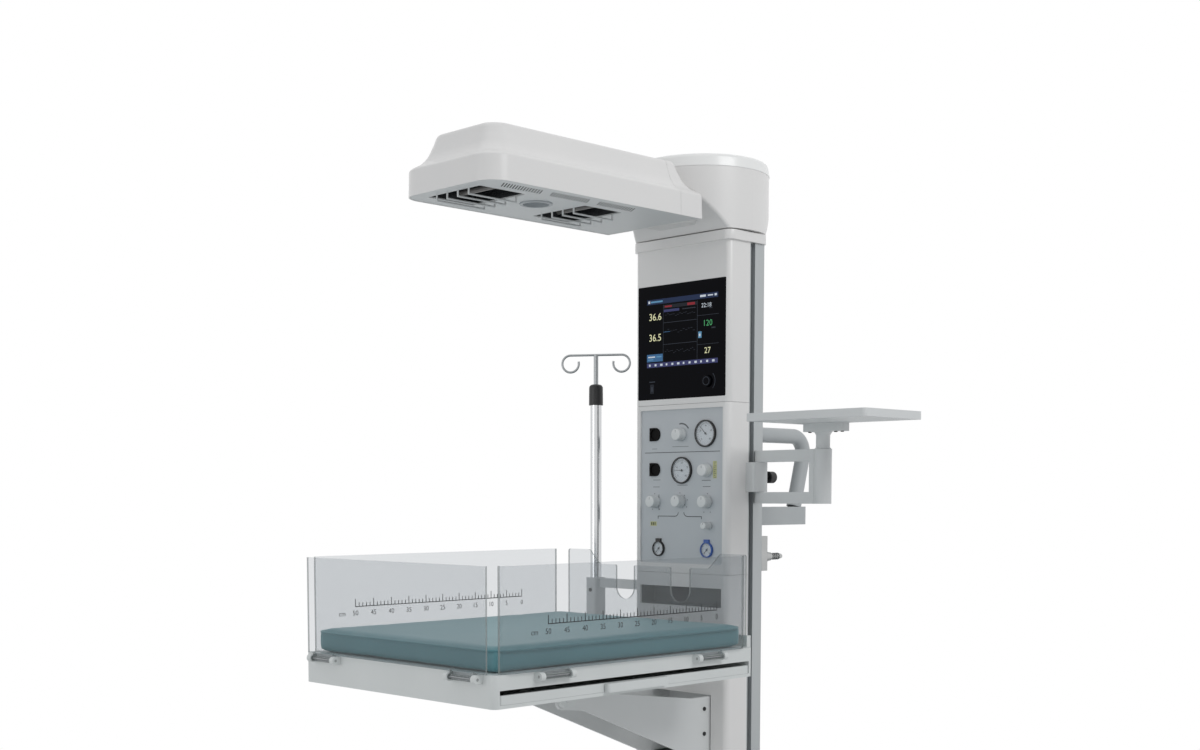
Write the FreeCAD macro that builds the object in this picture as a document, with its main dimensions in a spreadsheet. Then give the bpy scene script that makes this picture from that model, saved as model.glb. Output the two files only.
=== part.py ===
"""Open infant warmer: bed with clear side panels, column with monitor and gas
controls, swivelling overhead heater, drip pole, side shelf and a castered base.

Built with X to the right, +Y towards the back and the floor at Z = 0, around
the middle of the column's front face; the last step moves the origin to the
middle of the footprint. Millimetres and degrees throughout.
"""
import FreeCAD, Part
import math
import os
import re

import Sketcher
from FreeCAD import Placement, Rotation, Vector

# Driving dimensions, in groups. Heights are above the floor.
COLUMN = {
    "column_width": 302, "cover_depth": 74, "cover_wall": 5, "cover_corner": 14,
    "mast_depth": 53, "mast_wall": 6, "mast_top": 1801, "gas_seam": 1427,
    "low_seam": 1020, "cover_foot": 215, "seam_gap": 0.6,
    "slot_width": 16, "slot_depth": 12, "slot_inset": 3,
    "collar_height": 22, "collar_lip": 6, "collar_back": 11, "collar_corner": 20,
    "glass_width": 280, "glass_height": 274, "glass_foot": 1441, "glass_thick": 4,
    "glass_gap": 0.3, "glass_corner": 3,
    "panel_width": 265, "panel_foot": 1043, "panel_top": 1415, "panel_thick": 3,
    "panel_lap": 5, "bay_width": 262, "bay_foot": 941, "bay_top": 987, "bay_depth": 52,
    "bay_wall": 2,
}
CONTROLS = {
    "port_left": -103, "port_width": 33, "port_height": 32, "port_thick": 3.5,
    "port_wall": 5, "port_mouth": 13,
    "high_row": 1356.5, "second_row": 1269, "third_row": 1193, "fourth_row": 1136,
    "fifth_row": 1078, "left_line": -85.5, "mid_line": -2.5, "right_line": 82,
    "dial_line": 77, "mid_dial": 2, "dial_radius": 32.3, "dial_height": 6, "dial_rim": 3.4,
    "low_dial_radius": 18.8, "low_dial_height": 6, "low_dial_rim": 2.6,
    "low_dial_left": -72.5, "low_dial_right": 83, "dial_base": 1, "lens_thick": 1.5,
    "lens_drop": 1, "needle_thick": 0.8, "pin_radius": 1.2, "fit_gap": 0.05,
    "knob_radius": 15.5, "knob_height": 22, "knob_stem": 4, "knob_gap": 0.4,
    "suction_line": 89, "suction_radius": 9, "suction_height": 24,
    "encoder_across": 84, "encoder_height": 1477.5, "encoder_radius": 14,
    "encoder_proud": 5,
}
HEAD = {
    "swivel_back": 66.5, "seam_height": 3, "drum_height": 139, "drum_radius": 165,
    "drum_foot_depth": 140, "drum_lean": 0.81, "drum_edge": 10, "drum_wall": 3,
    "cap_height": 29, "cap_shoulder": 10, "cap_lip": 156, "cap_draft": 3, "cap_proud": 1.5, "spindle_radius": 30,
    "flange_radius": 55,
    "flange_thick": 6, "running_gap": 0.08, "rest_gap": 0.3,
    "head_left": 160, "head_right": 139, "head_front": -720, "head_back": -85, "head_foot": 1836,
    "head_corner": 52, "head_wall": 3,
    "head_rise": 128, "head_inset": 52, "rear_seam": -156, "neck_width": 140,
    "neck_foot": 1842, "neck_top": 1944, "beam_width": 70, "beam_foot": 1874,
    "beam_height": 50, "beam_wall": 4, "beam_front": -600,
    "pan_thick": 3, "pan_lift": 1, "window_left": -111, "window_right": 58,
    "front_window": -680, "front_window_end": -553, "rear_window": -380,
    "rear_window_end": -263, "vent_across": 80, "vent_length": 33,
    "vent_width": 3.2, "vent_rake": 20, "vent_pitch": 7.5,
    "vent_count": 15, "front_vents": -643, "mid_vents": -506,
    "rear_vents": -366, "guard_wire": 2, "guard_drop": 12, "guard_pitch": 34.5,
    "trough_depth": 34, "trough_wall": 1, "element_radius": 6, "element_lift": 17,
    "lamp_middle": -471, "lamp_radius": 27, "lamp_bezel": 33, "lamp_drop": 5,
}
POLE = {
    "pole_across": -371.8, "pole_back": 84, "pole_radius": 14.7, "pole_wall": 1.5,
    "pole_foot": 830, "pole_top": 1457.5, "cap_radius": 18.5, "cap_length": 54,
    "cap_lap": 14, "rod_radius": 6, "rod_reach": 250, "rod_rise": 1574, "hook_turn": 34,
    "hook_wire": 3, "hook_bar": 68, "hook_loop": 22, "socket_width": 40, "socket_top": 992,
    "socket_foot": 815, "arm_top": 991, "arm_height": 24, "arm_thick": 14,
}
SHELF = {
    "pivot_across": 168, "pivot_back": 100, "pivot_pin": 7, "clamp_depth": 53,
    "clamp_front": 64, "clamp_out": 25, "clamp_foot": 1216, "clamp_top": 1286,
    "arm_radius": 15, "arm_deep": 27, "arm_gap": 0.4, "shelf_reach": 193.5,
    "shelf_turn": -5, "sleeve_radius": 20.5, "web_thick": 8, "post_radius": 16,
    "post_top": 1352.5, "post_drop": 100, "plate_foot": 1371.2, "plate_thick": 17.5,
    "plate_left": 291.4, "plate_right": 611.1, "plate_front": -111.5, "plate_back": 101.3,
    "plate_corner": 9, "plate_wall": 3, "bracket_width": 112, "bracket_depth": 84,
    "clamp_knob": 14, "clamp_knob_across": 166, "clamp_knob_length": 22,
    "clamp_stud": 3.6, "clamp_stud_reach": 10, "clamp_stud_depth": 8,
}
HANDLE = {
    "handle_across": 122, "handle_radius": 18.3, "handle_top": 1354, "handle_back": 336,
    "handle_bend": 42, "handle_low_back": 288, "handle_wall": 2.5, "block_top": 1180,
    "block_height": 44, "block_width": 46, "block_back": 320, "block_corner": 20,
    "inlet_drop": 26, "inlet_across": 138, "inlet_plate": 84, "inlet_wide": 26,
    "inlet_thick": 22, "inlet_body": 13, "inlet_neck": 10.5, "barb_drop": 8.5,
    "barb_radius": 8.5, "barb_length": 68, "barb_pitch": 8,
}
BED = {
    "bed_width": 630, "bed_foot": -871.5, "bed_head": -97, "mattress_top": 920,
    "mattress_thick": 51, "mattress_gap": 13, "mattress_corner": 40, "sheet_thick": 5,
    "sheet_top": 1075, "sheet_foot": 869.5, "sheet_bend": 37, "bend_angle": 53,
    "side_front": -848, "side_back": -127, "foot_half": 294, "head_half": 286,
    "head_low": 1040, "head_shoulder": 211, "head_step": 34, "notch_across": 89,
    "notch_width": 60, "notch_foot": 958, "tray_gap": 1.5, "tray_foot": 804,
    "tray_corner": 12, "tray_wall": 7, "cavity_height": 28, "hinge_out": 8.5,
    "hinge_drop": 10, "barrel_radius": 6, "barrel_length": 70, "hinge_pin": 3,
    "ear_radius": 8.5, "ear_thick": 12, "ear_gap": 0.5, "hinge_spread": 230,
    "cassette_gap": 1.5, "cassette_thick": 18, "cassette_grip": 14,
    "tilt_middle": -480, "tilt_height": 770, "tilt_shaft": 10, "lug_across": 99,
    "lug_thick": 12, "lug_radius": 20, "cheek_thick": 9, "cheek_gap": 0.8,
    "cheek_root": 575, "cheek_top": 728, "rail_slot": 9,
}
BASE = {
    "leg_across": 262, "leg_width": 64, "leg_height": 62, "leg_front": -745,
    "leg_back": 235, "leg_corner": 26, "base_foot": 138, "base_wall": 6,
    "cross_front": -30, "cross_back": 190, "caster_inset": 40, "wheel_radius": 62.5,
    "wheel_width": 30, "axle_radius": 6, "fork_gap": 2, "fork_wall": 4, "trail": 28,
    "stem_radius": 8, "stem_length": 44, "boss_radius": 18, "fork_top": 136,
}
SIZES = {}
for group in (COLUMN, CONTROLS, HEAD, POLE, SHELF, HANDLE, BED, BASE):
    SIZES.update(group)

doc = FreeCAD.newDocument("infant_warmer")
sheet = doc.addObject("Spreadsheet::Sheet", "Sizes")
for row, (alias, number) in enumerate(SIZES.items(), 1):
    sheet.set(f"A{row}", alias)
    sheet.set(f"B{row}", str(number))
    sheet.setAlias(f"B{row}", alias)
doc.recompute()

NORMALS = {"XY": 1, "XZ": -1, "YZ": 1}
TURNS = {
    "up": Rotation(),
    "front": Rotation(Vector(1, 0, 0), 90),
    "back": Rotation(Vector(1, 0, 0), -90),
    "right": Rotation(Vector(0, 1, 0), 90),
}
nodes = {}


def bound(text):
    """An expression over the sheet, written with the aliases alone."""
    def prefixed(match):
        word = match.group(0)
        return "Sizes." + word if word in SIZES else word
    return re.sub(r"[A-Za-z_]\w*", prefixed, str(text))


def size(text):
    return float(sheet.evalExpression(bound(text)))


def spot(x, y, z):
    return Vector(size(x), size(y), size(z))


def tie(thing, **properties):
    for name, text in properties.items():
        thing.setExpression(name.replace("__", "."), bound(text))


def place(thing, at, direction="up", turn=0):
    """Seat an object at a point, with its own Z turned to a direction."""
    rotation = TURNS[direction].multiply(Rotation(Vector(0, 0, 1), turn))
    thing.Placement = Placement(spot(*at), rotation)
    tie(thing, Placement__Base__x=at[0], Placement__Base__y=at[1], Placement__Base__z=at[2])
    return thing


def keep(label, thing):
    """Name a finished sub-part."""
    thing.Label = label
    nodes[label] = thing
    return thing


def corner_run(before, corner, after, radius):
    """Where a rounded corner starts and ends, its centre, and if it turns left."""
    back = (before - corner).normalize()
    ahead = (after - corner).normalize()
    half = back.getAngle(ahead) / 2
    run = radius / math.tan(half)
    centre = corner + (back + ahead).normalize() * (radius / math.sin(half))
    return corner + back * run, corner + ahead * run, centre, ahead.cross(back).z > 0


def fixed(geometry, end, x, y):
    """The two rules that hold a point at a place, each with its expression."""
    return [
        (Sketcher.Constraint(kind, -1, 1, geometry, end, size(text)), text)
        for kind, text in (("DistanceX", x), ("DistanceY", y))
    ]


def add_rules(sketch, rules):
    """Add all of a sketch's rules together, then bind the ones with a size."""
    sketch.addConstraint([rule for rule, _ in rules])
    for number, (_, text) in enumerate(rules):
        if text is not None:
            sketch.setExpression(f"Constraints[{number}]", bound(text))


def outline_rules(sketch, corners):
    """Draw a closed outline; a corner's third value rounds it."""
    points = [Vector(size(c[0]), size(c[1]), 0) for c in corners]
    count = len(corners)
    bends = []
    for i, corner in enumerate(corners):
        bend = None
        if len(corner) > 2:
            bend = corner_run(points[i - 1], points[i], points[(i + 1) % count], size(corner[2]))
        bends.append(bend)
    leaves = [bend[1] if bend else point for bend, point in zip(bends, points)]
    enters = [bend[0] if bend else point for bend, point in zip(bends, points)]
    lines = [
        sketch.addGeometry(Part.LineSegment(leaves[i], enters[(i + 1) % count]), False)
        for i in range(count)
    ]
    rules = []
    for i, corner in enumerate(corners):
        into, out = lines[i - 1], lines[i]
        if bends[i] is None:
            rules.append((Sketcher.Constraint("Coincident", into, 2, out, 1), None))
            rules += fixed(out, 1, corner[0], corner[1])
            continue
        first, last, centre, left = bends[i]
        ends = (first, last) if left else (last, first)
        angles = [math.atan2((end - centre).y, (end - centre).x) for end in ends]
        radius = size(corner[2])
        circle = Part.Circle(centre, Vector(0, 0, 1), radius)
        arc = sketch.addGeometry(Part.ArcOfCircle(circle, *angles), False)
        start, stop = (1, 2) if left else (2, 1)
        point = sketch.addGeometry(Part.Point(points[i]), True)
        rules += [
            (Sketcher.Constraint("Tangent", into, 2, arc, start), None),
            (Sketcher.Constraint("Tangent", arc, stop, out, 1), None),
            (Sketcher.Constraint("Radius", arc, radius), corner[2]),
            (Sketcher.Constraint("PointOnObject", point, 1, into), None),
            (Sketcher.Constraint("PointOnObject", point, 1, out), None),
            *fixed(point, 1, corner[0], corner[1]),
        ]
    return rules


def circle_rules(sketch, x, y, radius):
    circle = Part.Circle(Vector(size(x), size(y), 0), Vector(0, 0, 1), size(radius))
    geometry = sketch.addGeometry(circle, False)
    rule = Sketcher.Constraint("Radius", geometry, size(radius))
    return fixed(geometry, 3, x, y) + [(rule, radius)]


def add_sketch(body, plane, level, loops):
    """A sketch on one of the body's own planes, at a level along its normal."""
    sketch = body.newObject("Sketcher::SketchObject", body.Name + "_sketch")
    planes = [f for f in body.Origin.OriginFeatures if f.Role == plane + "_Plane"]
    sketch.AttachmentSupport = [(planes[0], "")]
    sketch.MapMode = "FlatFace"
    sign = "" if NORMALS[plane] > 0 else "-"
    tie(sketch, **{".AttachmentOffset__Base__z": f"{sign}({level})"})
    rules = []
    for loop in loops:
        if loop[0] == "circle":
            rules += circle_rules(sketch, *loop[1:])
        else:
            rules += outline_rules(sketch, loop)
    add_rules(sketch, rules)
    return sketch


def grow(body, plane, low, high, *loops):
    """Add material between two levels along the plane's axis."""
    start = low if NORMALS[plane] > 0 else high
    sketch = add_sketch(body, plane, start, loops)
    pad = body.newObject("PartDesign::Pad", body.Name + "_pad")
    pad.Profile = sketch
    tie(pad, Length=f"({high}) - ({low})")
    return pad


def carve(body, plane, low, high, *loops):
    """Take material away between two levels along the plane's axis."""
    start = high if NORMALS[plane] > 0 else low
    sketch = add_sketch(body, plane, start, loops)
    pocket = body.newObject("PartDesign::Pocket", body.Name + "_pocket")
    pocket.Profile = sketch
    tie(pocket, Length=f"({high}) - ({low})")
    return pocket


def repeated(body, feature, step, count):
    """Repeat a feature along its sketch's vertical axis."""
    pattern = body.newObject("PartDesign::LinearPattern", body.Name + "_row")
    pattern.Originals = [feature]
    pattern.Direction = (feature.Profile[0], ["V_Axis"])
    tie(pattern, Length=f"({step}) * ({count} - 1)", Occurrences=count)
    body.Tip = pattern
    return pattern


def prism(label, plane, low, high, *loops):
    body = doc.addObject("PartDesign::Body", label)
    grow(body, plane, low, high, *loops)
    return body


def turned(label, profile, at=(0, 0, 0), direction="up"):
    """A round piece from its half section, as (radius, height) corners."""
    body = doc.addObject("PartDesign::Body", label)
    sketch = add_sketch(body, "XZ", 0, [profile])
    lathe = body.newObject("PartDesign::Revolution", label + "_turn")
    lathe.Profile = sketch
    lathe.ReferenceAxis = (sketch, ["V_Axis"])
    lathe.Angle = 360
    return place(body, at, direction)


def rectangle(left, front, right, back, corner=None):
    turns = () if corner is None else (corner,)
    return [(left, front, *turns), (right, front, *turns), (right, back, *turns),
            (left, back, *turns)]


def block(label, left, right, front, back, low, high):
    box = doc.addObject("Part::Box", label)
    tie(box, Length=f"({right}) - ({left})", Width=f"({back}) - ({front})",
        Height=f"({high}) - ({low})")
    return place(box, (left, front, low))


def rod(label, radius, length, at, direction="up"):
    cylinder = doc.addObject("Part::Cylinder", label)
    tie(cylinder, Radius=radius, Height=length)
    return place(cylinder, at, direction)


def less(label, base, *tools):
    """The base with each tool cut out of it."""
    for tool in tools:
        cut = doc.addObject("Part::Cut", label)
        cut.Base = base
        cut.Tool = tool
        base = cut
    return base


def joined(label, *parts):
    fuse = doc.addObject("Part::MultiFuse", label)
    fuse.Shapes = list(parts)
    fuse.Refine = True
    return fuse


def grouped(label, *parts):
    """Separate solids that share one name."""
    group = doc.addObject("Part::Compound", label)
    group.Links = list(parts)
    return keep(label, group)


def plain(label, shape):
    feature = doc.addObject("Part::Feature", label)
    feature.Shape = shape
    return feature


HALF_COLUMN = "column_width / 2"


def column():
    """Extruded mast with side slots, three front covers and the top collar."""
    front, back = "cover_depth", "cover_depth + mast_depth"
    slot_low = "cover_depth + slot_inset"
    slot_high = f"{slot_low} + slot_width"
    inner = f"{HALF_COLUMN} - slot_depth"
    outline = [
        (f"-({HALF_COLUMN})", front), (HALF_COLUMN, front), (HALF_COLUMN, slot_low),
        (inner, slot_low), (inner, slot_high), (HALF_COLUMN, slot_high),
        (HALF_COLUMN, back), (f"-({HALF_COLUMN})", back), (f"-({HALF_COLUMN})", slot_high),
        (f"-({inner})", slot_high), (f"-({inner})", slot_low), (f"-({HALF_COLUMN})", slot_low),
    ]
    bore = f"{inner} - mast_wall"
    hollow = rectangle(f"-({bore})", f"{front} + mast_wall", bore, f"{back} - mast_wall", 4)
    keep("column_mast", prism("column_mast", "XY", "base_foot + leg_height", "mast_top",
                              outline, hollow))

    covers = (("lower_cover", "cover_foot", "low_seam - seam_gap"),
              ("gas_cover", "low_seam", "gas_seam - seam_gap"),
              ("monitor_cover", "gas_seam", "mast_top"))
    inside = f"{HALF_COLUMN} - cover_wall"
    shell = [
        (f"-({HALF_COLUMN})", 0, "cover_corner"), (HALF_COLUMN, 0, "cover_corner"),
        (HALF_COLUMN, front), (inside, front), (inside, "cover_wall", "cover_corner - cover_wall"),
        (f"-({inside})", "cover_wall", "cover_corner - cover_wall"), (f"-({inside})", front),
        (f"-({HALF_COLUMN})", front),
    ]
    bodies = {label: prism(label, "XY", low, high, shell) for label, low, high in covers}

    half_glass = "glass_width / 2 + glass_gap"
    carve(bodies["monitor_cover"], "XZ", 0, "cover_wall",
          rectangle(f"-({half_glass})", "glass_foot - glass_gap", half_glass,
                    "glass_foot + glass_height + glass_gap", "glass_corner"))
    carve(bodies["gas_cover"], "XZ", 0, "cover_wall",
          rectangle("-panel_width / 2", "panel_foot", "panel_width / 2", "panel_top", 2))
    lower = bodies["lower_cover"]
    carve(lower, "XZ", 0, "cover_wall",
          rectangle("-bay_width / 2", "bay_foot", "bay_width / 2", "bay_top"))
    pocket = "bay_width / 2 + bay_wall"
    grow(lower, "XZ", "cover_wall", "bay_depth + bay_wall",
         rectangle(f"-({pocket})", "bay_foot - bay_wall", pocket, "bay_top + bay_wall"))
    carve(lower, "XZ", "cover_wall", "bay_depth",
          rectangle("-bay_width / 2", "bay_foot", "bay_width / 2", "bay_top"))
    reach = "lug_across - cheek_gap + 3"
    carve(lower, "XZ", 0, "cover_wall",
          rectangle(f"-({reach})", "cheek_root - 3", reach, "cheek_top + 3"))
    for label, body in bodies.items():
        keep(label, body)

    lip = f"{HALF_COLUMN} + collar_lip"
    collar = prism("collar_plate", "XY", "mast_top", "mast_top + collar_height",
                   rectangle(f"-({lip})", "-collar_lip", lip, f"{back} + collar_back",
                             "collar_corner"),
                   ("circle", 0, "swivel_back", "spindle_radius + running_gap"))
    keep("collar_plate", collar)


def display():
    """Dark glass front with a push-and-turn selector."""
    glass = prism("display_glass", "XZ", 0.5, "glass_thick + 0.5",
                  rectangle("-glass_width / 2", "glass_foot", "glass_width / 2",
                            "glass_foot + glass_height", "glass_corner"),
                  ("circle", "encoder_across", "encoder_height", "pin_radius * 3"))
    keep("display_glass", glass)
    knob = turned("encoder_knob",
                  [(0, "-(glass_thick + 8)"), ("pin_radius * 3 - running_gap", "-(glass_thick + 8)"),
                   ("pin_radius * 3 - running_gap", "knob_gap"), ("encoder_radius", "knob_gap"),
                   ("encoder_radius", "encoder_proud", 1.5), (0, "encoder_proud")],
                  ("encoder_across", 0.5, "encoder_height"), "front")
    keep("encoder_knob", knob)


# Each dial: across, height, kind, and where its needle rests, in degrees from upright.
DIALS = (
    ("airway", "dial_line", "high_row - 2", "dial", -45),
    ("vacuum", "mid_dial", "second_row - 0.8", "dial", -90),
    ("oxygen", "low_dial_left", "fifth_row", "low_dial", -135),
    ("air", "low_dial_right", "fifth_row", "low_dial", -135),
)
KNOBS = (
    ("suction_knob", "mid_line + 1.5", "high_row - 2.5"),
    ("pressure_knob", "right_line", "second_row - 1.5"),
    ("left_flow_knob", "left_line", "third_row"),
    ("mix_knob", "mid_line", "third_row + 1"),
    ("right_flow_knob", "right_line", "third_row"),
)


def gas_panel():
    """Recessed control panel with its ports, dials and knobs."""
    half = "panel_width / 2 + panel_lap"
    holes = [("circle", x, z, "knob_stem + fit_gap") for _, x, z in KNOBS]
    holes.append(("circle", "suction_line", "fourth_row", "knob_stem + fit_gap"))
    panel = prism("gas_panel", "XZ", "cover_wall", "cover_wall + panel_thick",
                  rectangle(f"-({half})", "panel_foot - panel_lap", half,
                            "panel_top + panel_lap", 3), *holes)
    keep("gas_panel", panel)

    ports = []
    for name, row in (("upper", "high_row"), ("lower", "second_row + 2")):
        foot, top = f"{row} - port_height / 2", f"{row} + port_height / 2"
        outline = [("port_left", foot, 1), ("port_left + port_width", foot, "port_height * 0.45"),
                   ("port_left + port_width", top, "port_height * 0.45"), ("port_left", top, 1)]
        port = prism(f"{name}_port", "XZ", "cover_wall - port_thick", "cover_wall", outline)
        carve(port, "XZ", "cover_wall - port_thick", "cover_wall - 1",
              ("circle", "port_left + port_width / 2", row, "port_mouth"))
        ports.append(port)
    grouped("gas_ports", *ports)

    cases, lenses = [], []
    for name, x, z, kind, rest in DIALS:
        radius, height, rim = f"{kind}_radius", f"{kind}_height", f"{kind}_rim"
        seat, hole = f"{height} - lens_drop - lens_thick", f"{radius} - {rim}"
        profile = [(0, 0), (radius, 0), (radius, height, "dial_rim / 3"), (hole, height),
                   (hole, "dial_base"), ("pin_radius", "dial_base"),
                   ("pin_radius", f"{seat} - 0.5"), (0, f"{seat} - 0.5")]
        cases.append(turned(f"{name}_case", profile, (x, "cover_wall", z), "front"))
        glass = [(0, seat), (hole, seat), (hole, f"{seat} + lens_thick"),
                 (0, f"{seat} + lens_thick")]
        lenses.append(turned(f"{name}_lens", glass, (x, "cover_wall", z), "front"))
        needle(name, x, z, radius, rim, rest)
    for i in (2, 3):
        name, x, z = DIALS[i][:3]
        lug = block(f"{name}_lug", f"{x} - 8", f"{x} + 8", "cover_wall - low_dial_height * 0.8",
                    "cover_wall", f"{z} + low_dial_radius - 8", f"{z} + low_dial_radius + 6")
        hollow = rod(f"{name}_clear", "low_dial_radius - 1", "low_dial_height",
                     (x, "cover_wall", z), "front")
        cases[i] = joined(f"{name}_dial", cases[i], less(f"{name}_ear", lug, hollow))
    grouped("gauge_cases", *cases)
    grouped("gauge_lenses", *lenses)

    for label, x, z in KNOBS:
        control_knob(label, x, z, "knob_radius", "knob_height")
    control_knob("suction_tap", "suction_line", "fourth_row", "suction_radius", "suction_height")


def needle(name, x, z, radius, rim, rest):
    """A pointer that turns on the dial's centre pin."""
    length = f"{radius} - {rim} - 4"
    outline = [("-needle_thick", "-pin_radius * 4"), ("needle_thick", "-pin_radius * 4"),
               (0.35, length), (-0.35, length)]
    low, high = "dial_base + 1", "dial_base + 1 + needle_thick"
    pointer = prism(f"{name}_needle", "XY", low, high, outline)
    grow(pointer, "XY", low, high, ("circle", 0, 0, "pin_radius * 2.4"))
    carve(pointer, "XY", low, high, ("circle", 0, 0, "pin_radius + fit_gap"))
    keep(f"{name}_needle", place(pointer, (x, "cover_wall", z), "front", -rest))


def control_knob(label, x, z, radius, height):
    profile = [
        (0, "-(panel_thick + 4)"), ("knob_stem", "-(panel_thick + 4)"), ("knob_stem", "knob_gap"),
        (radius, "knob_gap", 1), (radius, f"{height} * 0.3"), (f"{radius} * 0.95", f"{height} * 0.4"),
        (f"{radius} * 0.93", height, 1.5), (0, height),
    ]
    keep(label, turned(label, profile, (x, "cover_wall", z), "front"))


def ring_section(z, left, right, low_y, high_y, corner):
    """A level rectangle with round corners, as one closed wire."""
    spots = (
        (right - corner, low_y + corner, -90), (right - corner, high_y - corner, 0),
        (left + corner, high_y - corner, 90), (left + corner, low_y + corner, 180),
    )
    arcs = []
    for x, y, angle in spots:
        circle = Part.Circle(Vector(x, y, z), Vector(0, 0, 1), corner)
        arcs.append(Part.ArcOfCircle(circle, math.radians(angle), math.radians(angle + 90)))
    edges = []
    for arc, after in zip(arcs, arcs[1:] + arcs[:1]):
        edges += [arc.toShape(), Part.LineSegment(arc.EndPoint, after.StartPoint).toShape()]
    return Part.Wire(edges)


DRUM_FOOT = "(mast_top + collar_height + seam_height)"


def drum_solid(label, inset, low, high):
    """The swivel drum: round, its front and back leaning in to the column's depth."""
    can = rod(f"{label}_round", f"drum_radius - ({inset})", f"({high}) - ({low})",
              (0, "swivel_back", low))
    near, far = (f"(drum_foot_depth / 2 - ({inset}) + (({level}) - {DRUM_FOOT}) * drum_lean)"
                 for level in (low, high))
    wedge = prism(f"{label}_wedge", "YZ", "-drum_radius", "drum_radius",
                  [(f"swivel_back - {near}", low), (f"swivel_back + {near}", low),
                   (f"swivel_back + {far}", high), (f"swivel_back - {far}", high)])
    solid = doc.addObject("Part::Common", label)
    solid.Base, solid.Tool = can, wedge
    return solid


def softened(label, base, radius):
    """The base with its slanting curved edges rounded."""
    doc.recompute()
    chosen = [i for i, edge in enumerate(base.Shape.Edges, 1)
              if edge.Curve.TypeId == "Part::GeomEllipse"]
    fillet = doc.addObject("Part::Fillet", label)
    fillet.Base = base
    fillet.Edges = [(i, size(radius), size(radius)) for i in chosen]
    return fillet


HEAD_STEPS = ((0, 0), (0.4, 0.02), (0.445, 0.1), (0.475, 0.225), (0.52, 0.38), (0.585, 0.52),
              (0.67, 0.645), (0.76, 0.73), (0.845, 0.81), (0.94, 0.88), (0.985, 0.94), (1, 1))


def head_solid(label, inset, low_lift, top_drop):
    """The heater head's lid: an upright skirt under a hollow flare, open at the rear."""
    foot, rise = size("head_foot"), size("head_rise")
    left, right = -size("head_left"), size("head_right")
    sections = []
    for height, draw in HEAD_STEPS:
        level = foot + height * rise
        if height == 0:
            level += low_lift
        if height == 1:
            level -= top_drop
        pull = draw * size("head_inset") + inset
        corner = size("head_corner") - inset - draw * 16
        sections.append(ring_section(level, left + pull, right - pull, size("head_front") + pull,
                                     size("head_back + 2 * head_corner"), corner))
    skirt = Part.makeLoft(sections[:2], True, True)
    flare = Part.makeLoft(sections[1:], True, False)
    rear = [(f"head_back - {inset} - {draw} * head_inset", f"head_foot + {height} * head_rise")
            for height, draw in HEAD_STEPS]
    ends = prism(f"{label}_end", "YZ", "-head_left - 5", "head_right + 5",
                 [("head_front - 5", "head_foot - 5"), (rear[0][0], "head_foot - 5"), *rear,
                  (rear[-1][0], "head_foot + head_rise + 5"),
                  ("head_front - 5", "head_foot + head_rise + 5")])
    trimmed = doc.addObject("Part::Common", label)
    trimmed.Base, trimmed.Tool = plain(f"{label}_loft", skirt.fuse(flare)), ends
    return trimmed


def heater_head():
    """Swivelling drum, its cap and arm, and the heater head it carries."""
    rim = f"{DRUM_FOOT} + drum_height"
    floor = f"{DRUM_FOOT} + drum_wall"
    outer = softened("drum_outer", drum_solid("drum_body", 0, DRUM_FOOT, rim), "drum_edge")
    inner = drum_solid("drum_inner", "drum_wall", floor, rim)
    bore = rod("drum_bore", "spindle_radius", 30, (0, "swivel_back", f"{DRUM_FOOT} - 10"))
    port = block("drum_port", "-beam_width / 2 - 0.3", "beam_width / 2 + 0.3",
                 "-drum_radius", "swivel_back", "beam_foot - 0.3",
                 "beam_foot + beam_height + 0.3")
    keep("swivel_drum", less("swivel_drum", outer, inner, bore, port))

    cap = turned("drum_cap",
                 [("cap_lip - drum_wall", "-8"), ("cap_lip", "-8"), ("cap_lip", 0),
                  ("drum_radius + cap_proud", 0, 1),
                  ("drum_radius - cap_draft", "cap_height", "cap_shoulder"),
                  (0, "cap_height"), (0, "cap_height - drum_wall"),
                  ("cap_lip - drum_wall", "cap_height - drum_wall", "cap_shoulder - drum_wall")],
                 (0, "swivel_back", rim))
    keep("drum_cap", cap)

    spindle = turned("swivel_spindle",
                     [(0, "mast_top + 1"), ("spindle_radius", "mast_top + 1"),
                      ("spindle_radius", floor), ("flange_radius", floor),
                      ("flange_radius", f"{floor} + flange_thick"),
                      ("spindle_radius", f"{floor} + flange_thick"),
                      ("spindle_radius", "beam_foot + 2"), (0, "beam_foot + 2")],
                     (0, "swivel_back", 0))
    beam = prism("beam", "XZ", "beam_front", "swivel_back + spindle_radius",
                 rectangle("-beam_width / 2", "beam_foot", "beam_width / 2",
                           "beam_foot + beam_height", 6),
                 rectangle("-beam_width / 2 + beam_wall", "beam_foot + beam_wall",
                           "beam_width / 2 - beam_wall", "beam_foot + beam_height - beam_wall", 3))
    keep("swivel_arm", joined("swivel_arm", spindle, beam))

    wall = size("head_wall")
    lid = less("lid", head_solid("lid_outer", 0, 0, 0), head_solid("lid_inner", wall, -1, wall))
    across = ("-head_left - 5", "head_right + 5")
    levels = ("head_foot - 5", "head_foot + head_rise + 5")
    rear = block("rear_side", *across, "rear_seam", "swivel_back", *levels)
    front = block("front_side", *across, "head_front - 5", "rear_seam - seam_gap", *levels)
    main = doc.addObject("Part::Common", "head_shell")
    main.Base, main.Tool = lid, front
    keep("head_shell", main)

    tail = doc.addObject("Part::Common", "tail")
    tail.Base, tail.Tool = lid, rear
    half = "neck_width / 2"
    opening = rectangle(f"-({half}) + head_wall", "neck_foot + head_wall",
                        f"{half} - head_wall", "neck_top - head_wall", 13)
    neck = prism("neck", "XZ", "head_back - head_inset", "swivel_back - 20",
                 rectangle(f"-({half})", "neck_foot", half, "neck_top", 16), opening)
    mouth = prism("neck_mouth", "XZ", "head_back - head_inset - 2 * head_wall", "head_back + 1",
                  opening)
    clear = drum_solid("drum_clear", -0.2, DRUM_FOOT, rim)
    keep("head_rear_shell", less("head_rear_shell", joined("tail_neck", tail, neck), mouth, clear))
    underside()


WINDOWS = (("front", "front_window", "front_window_end"),
           ("rear", "rear_window", "rear_window_end"))


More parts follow.
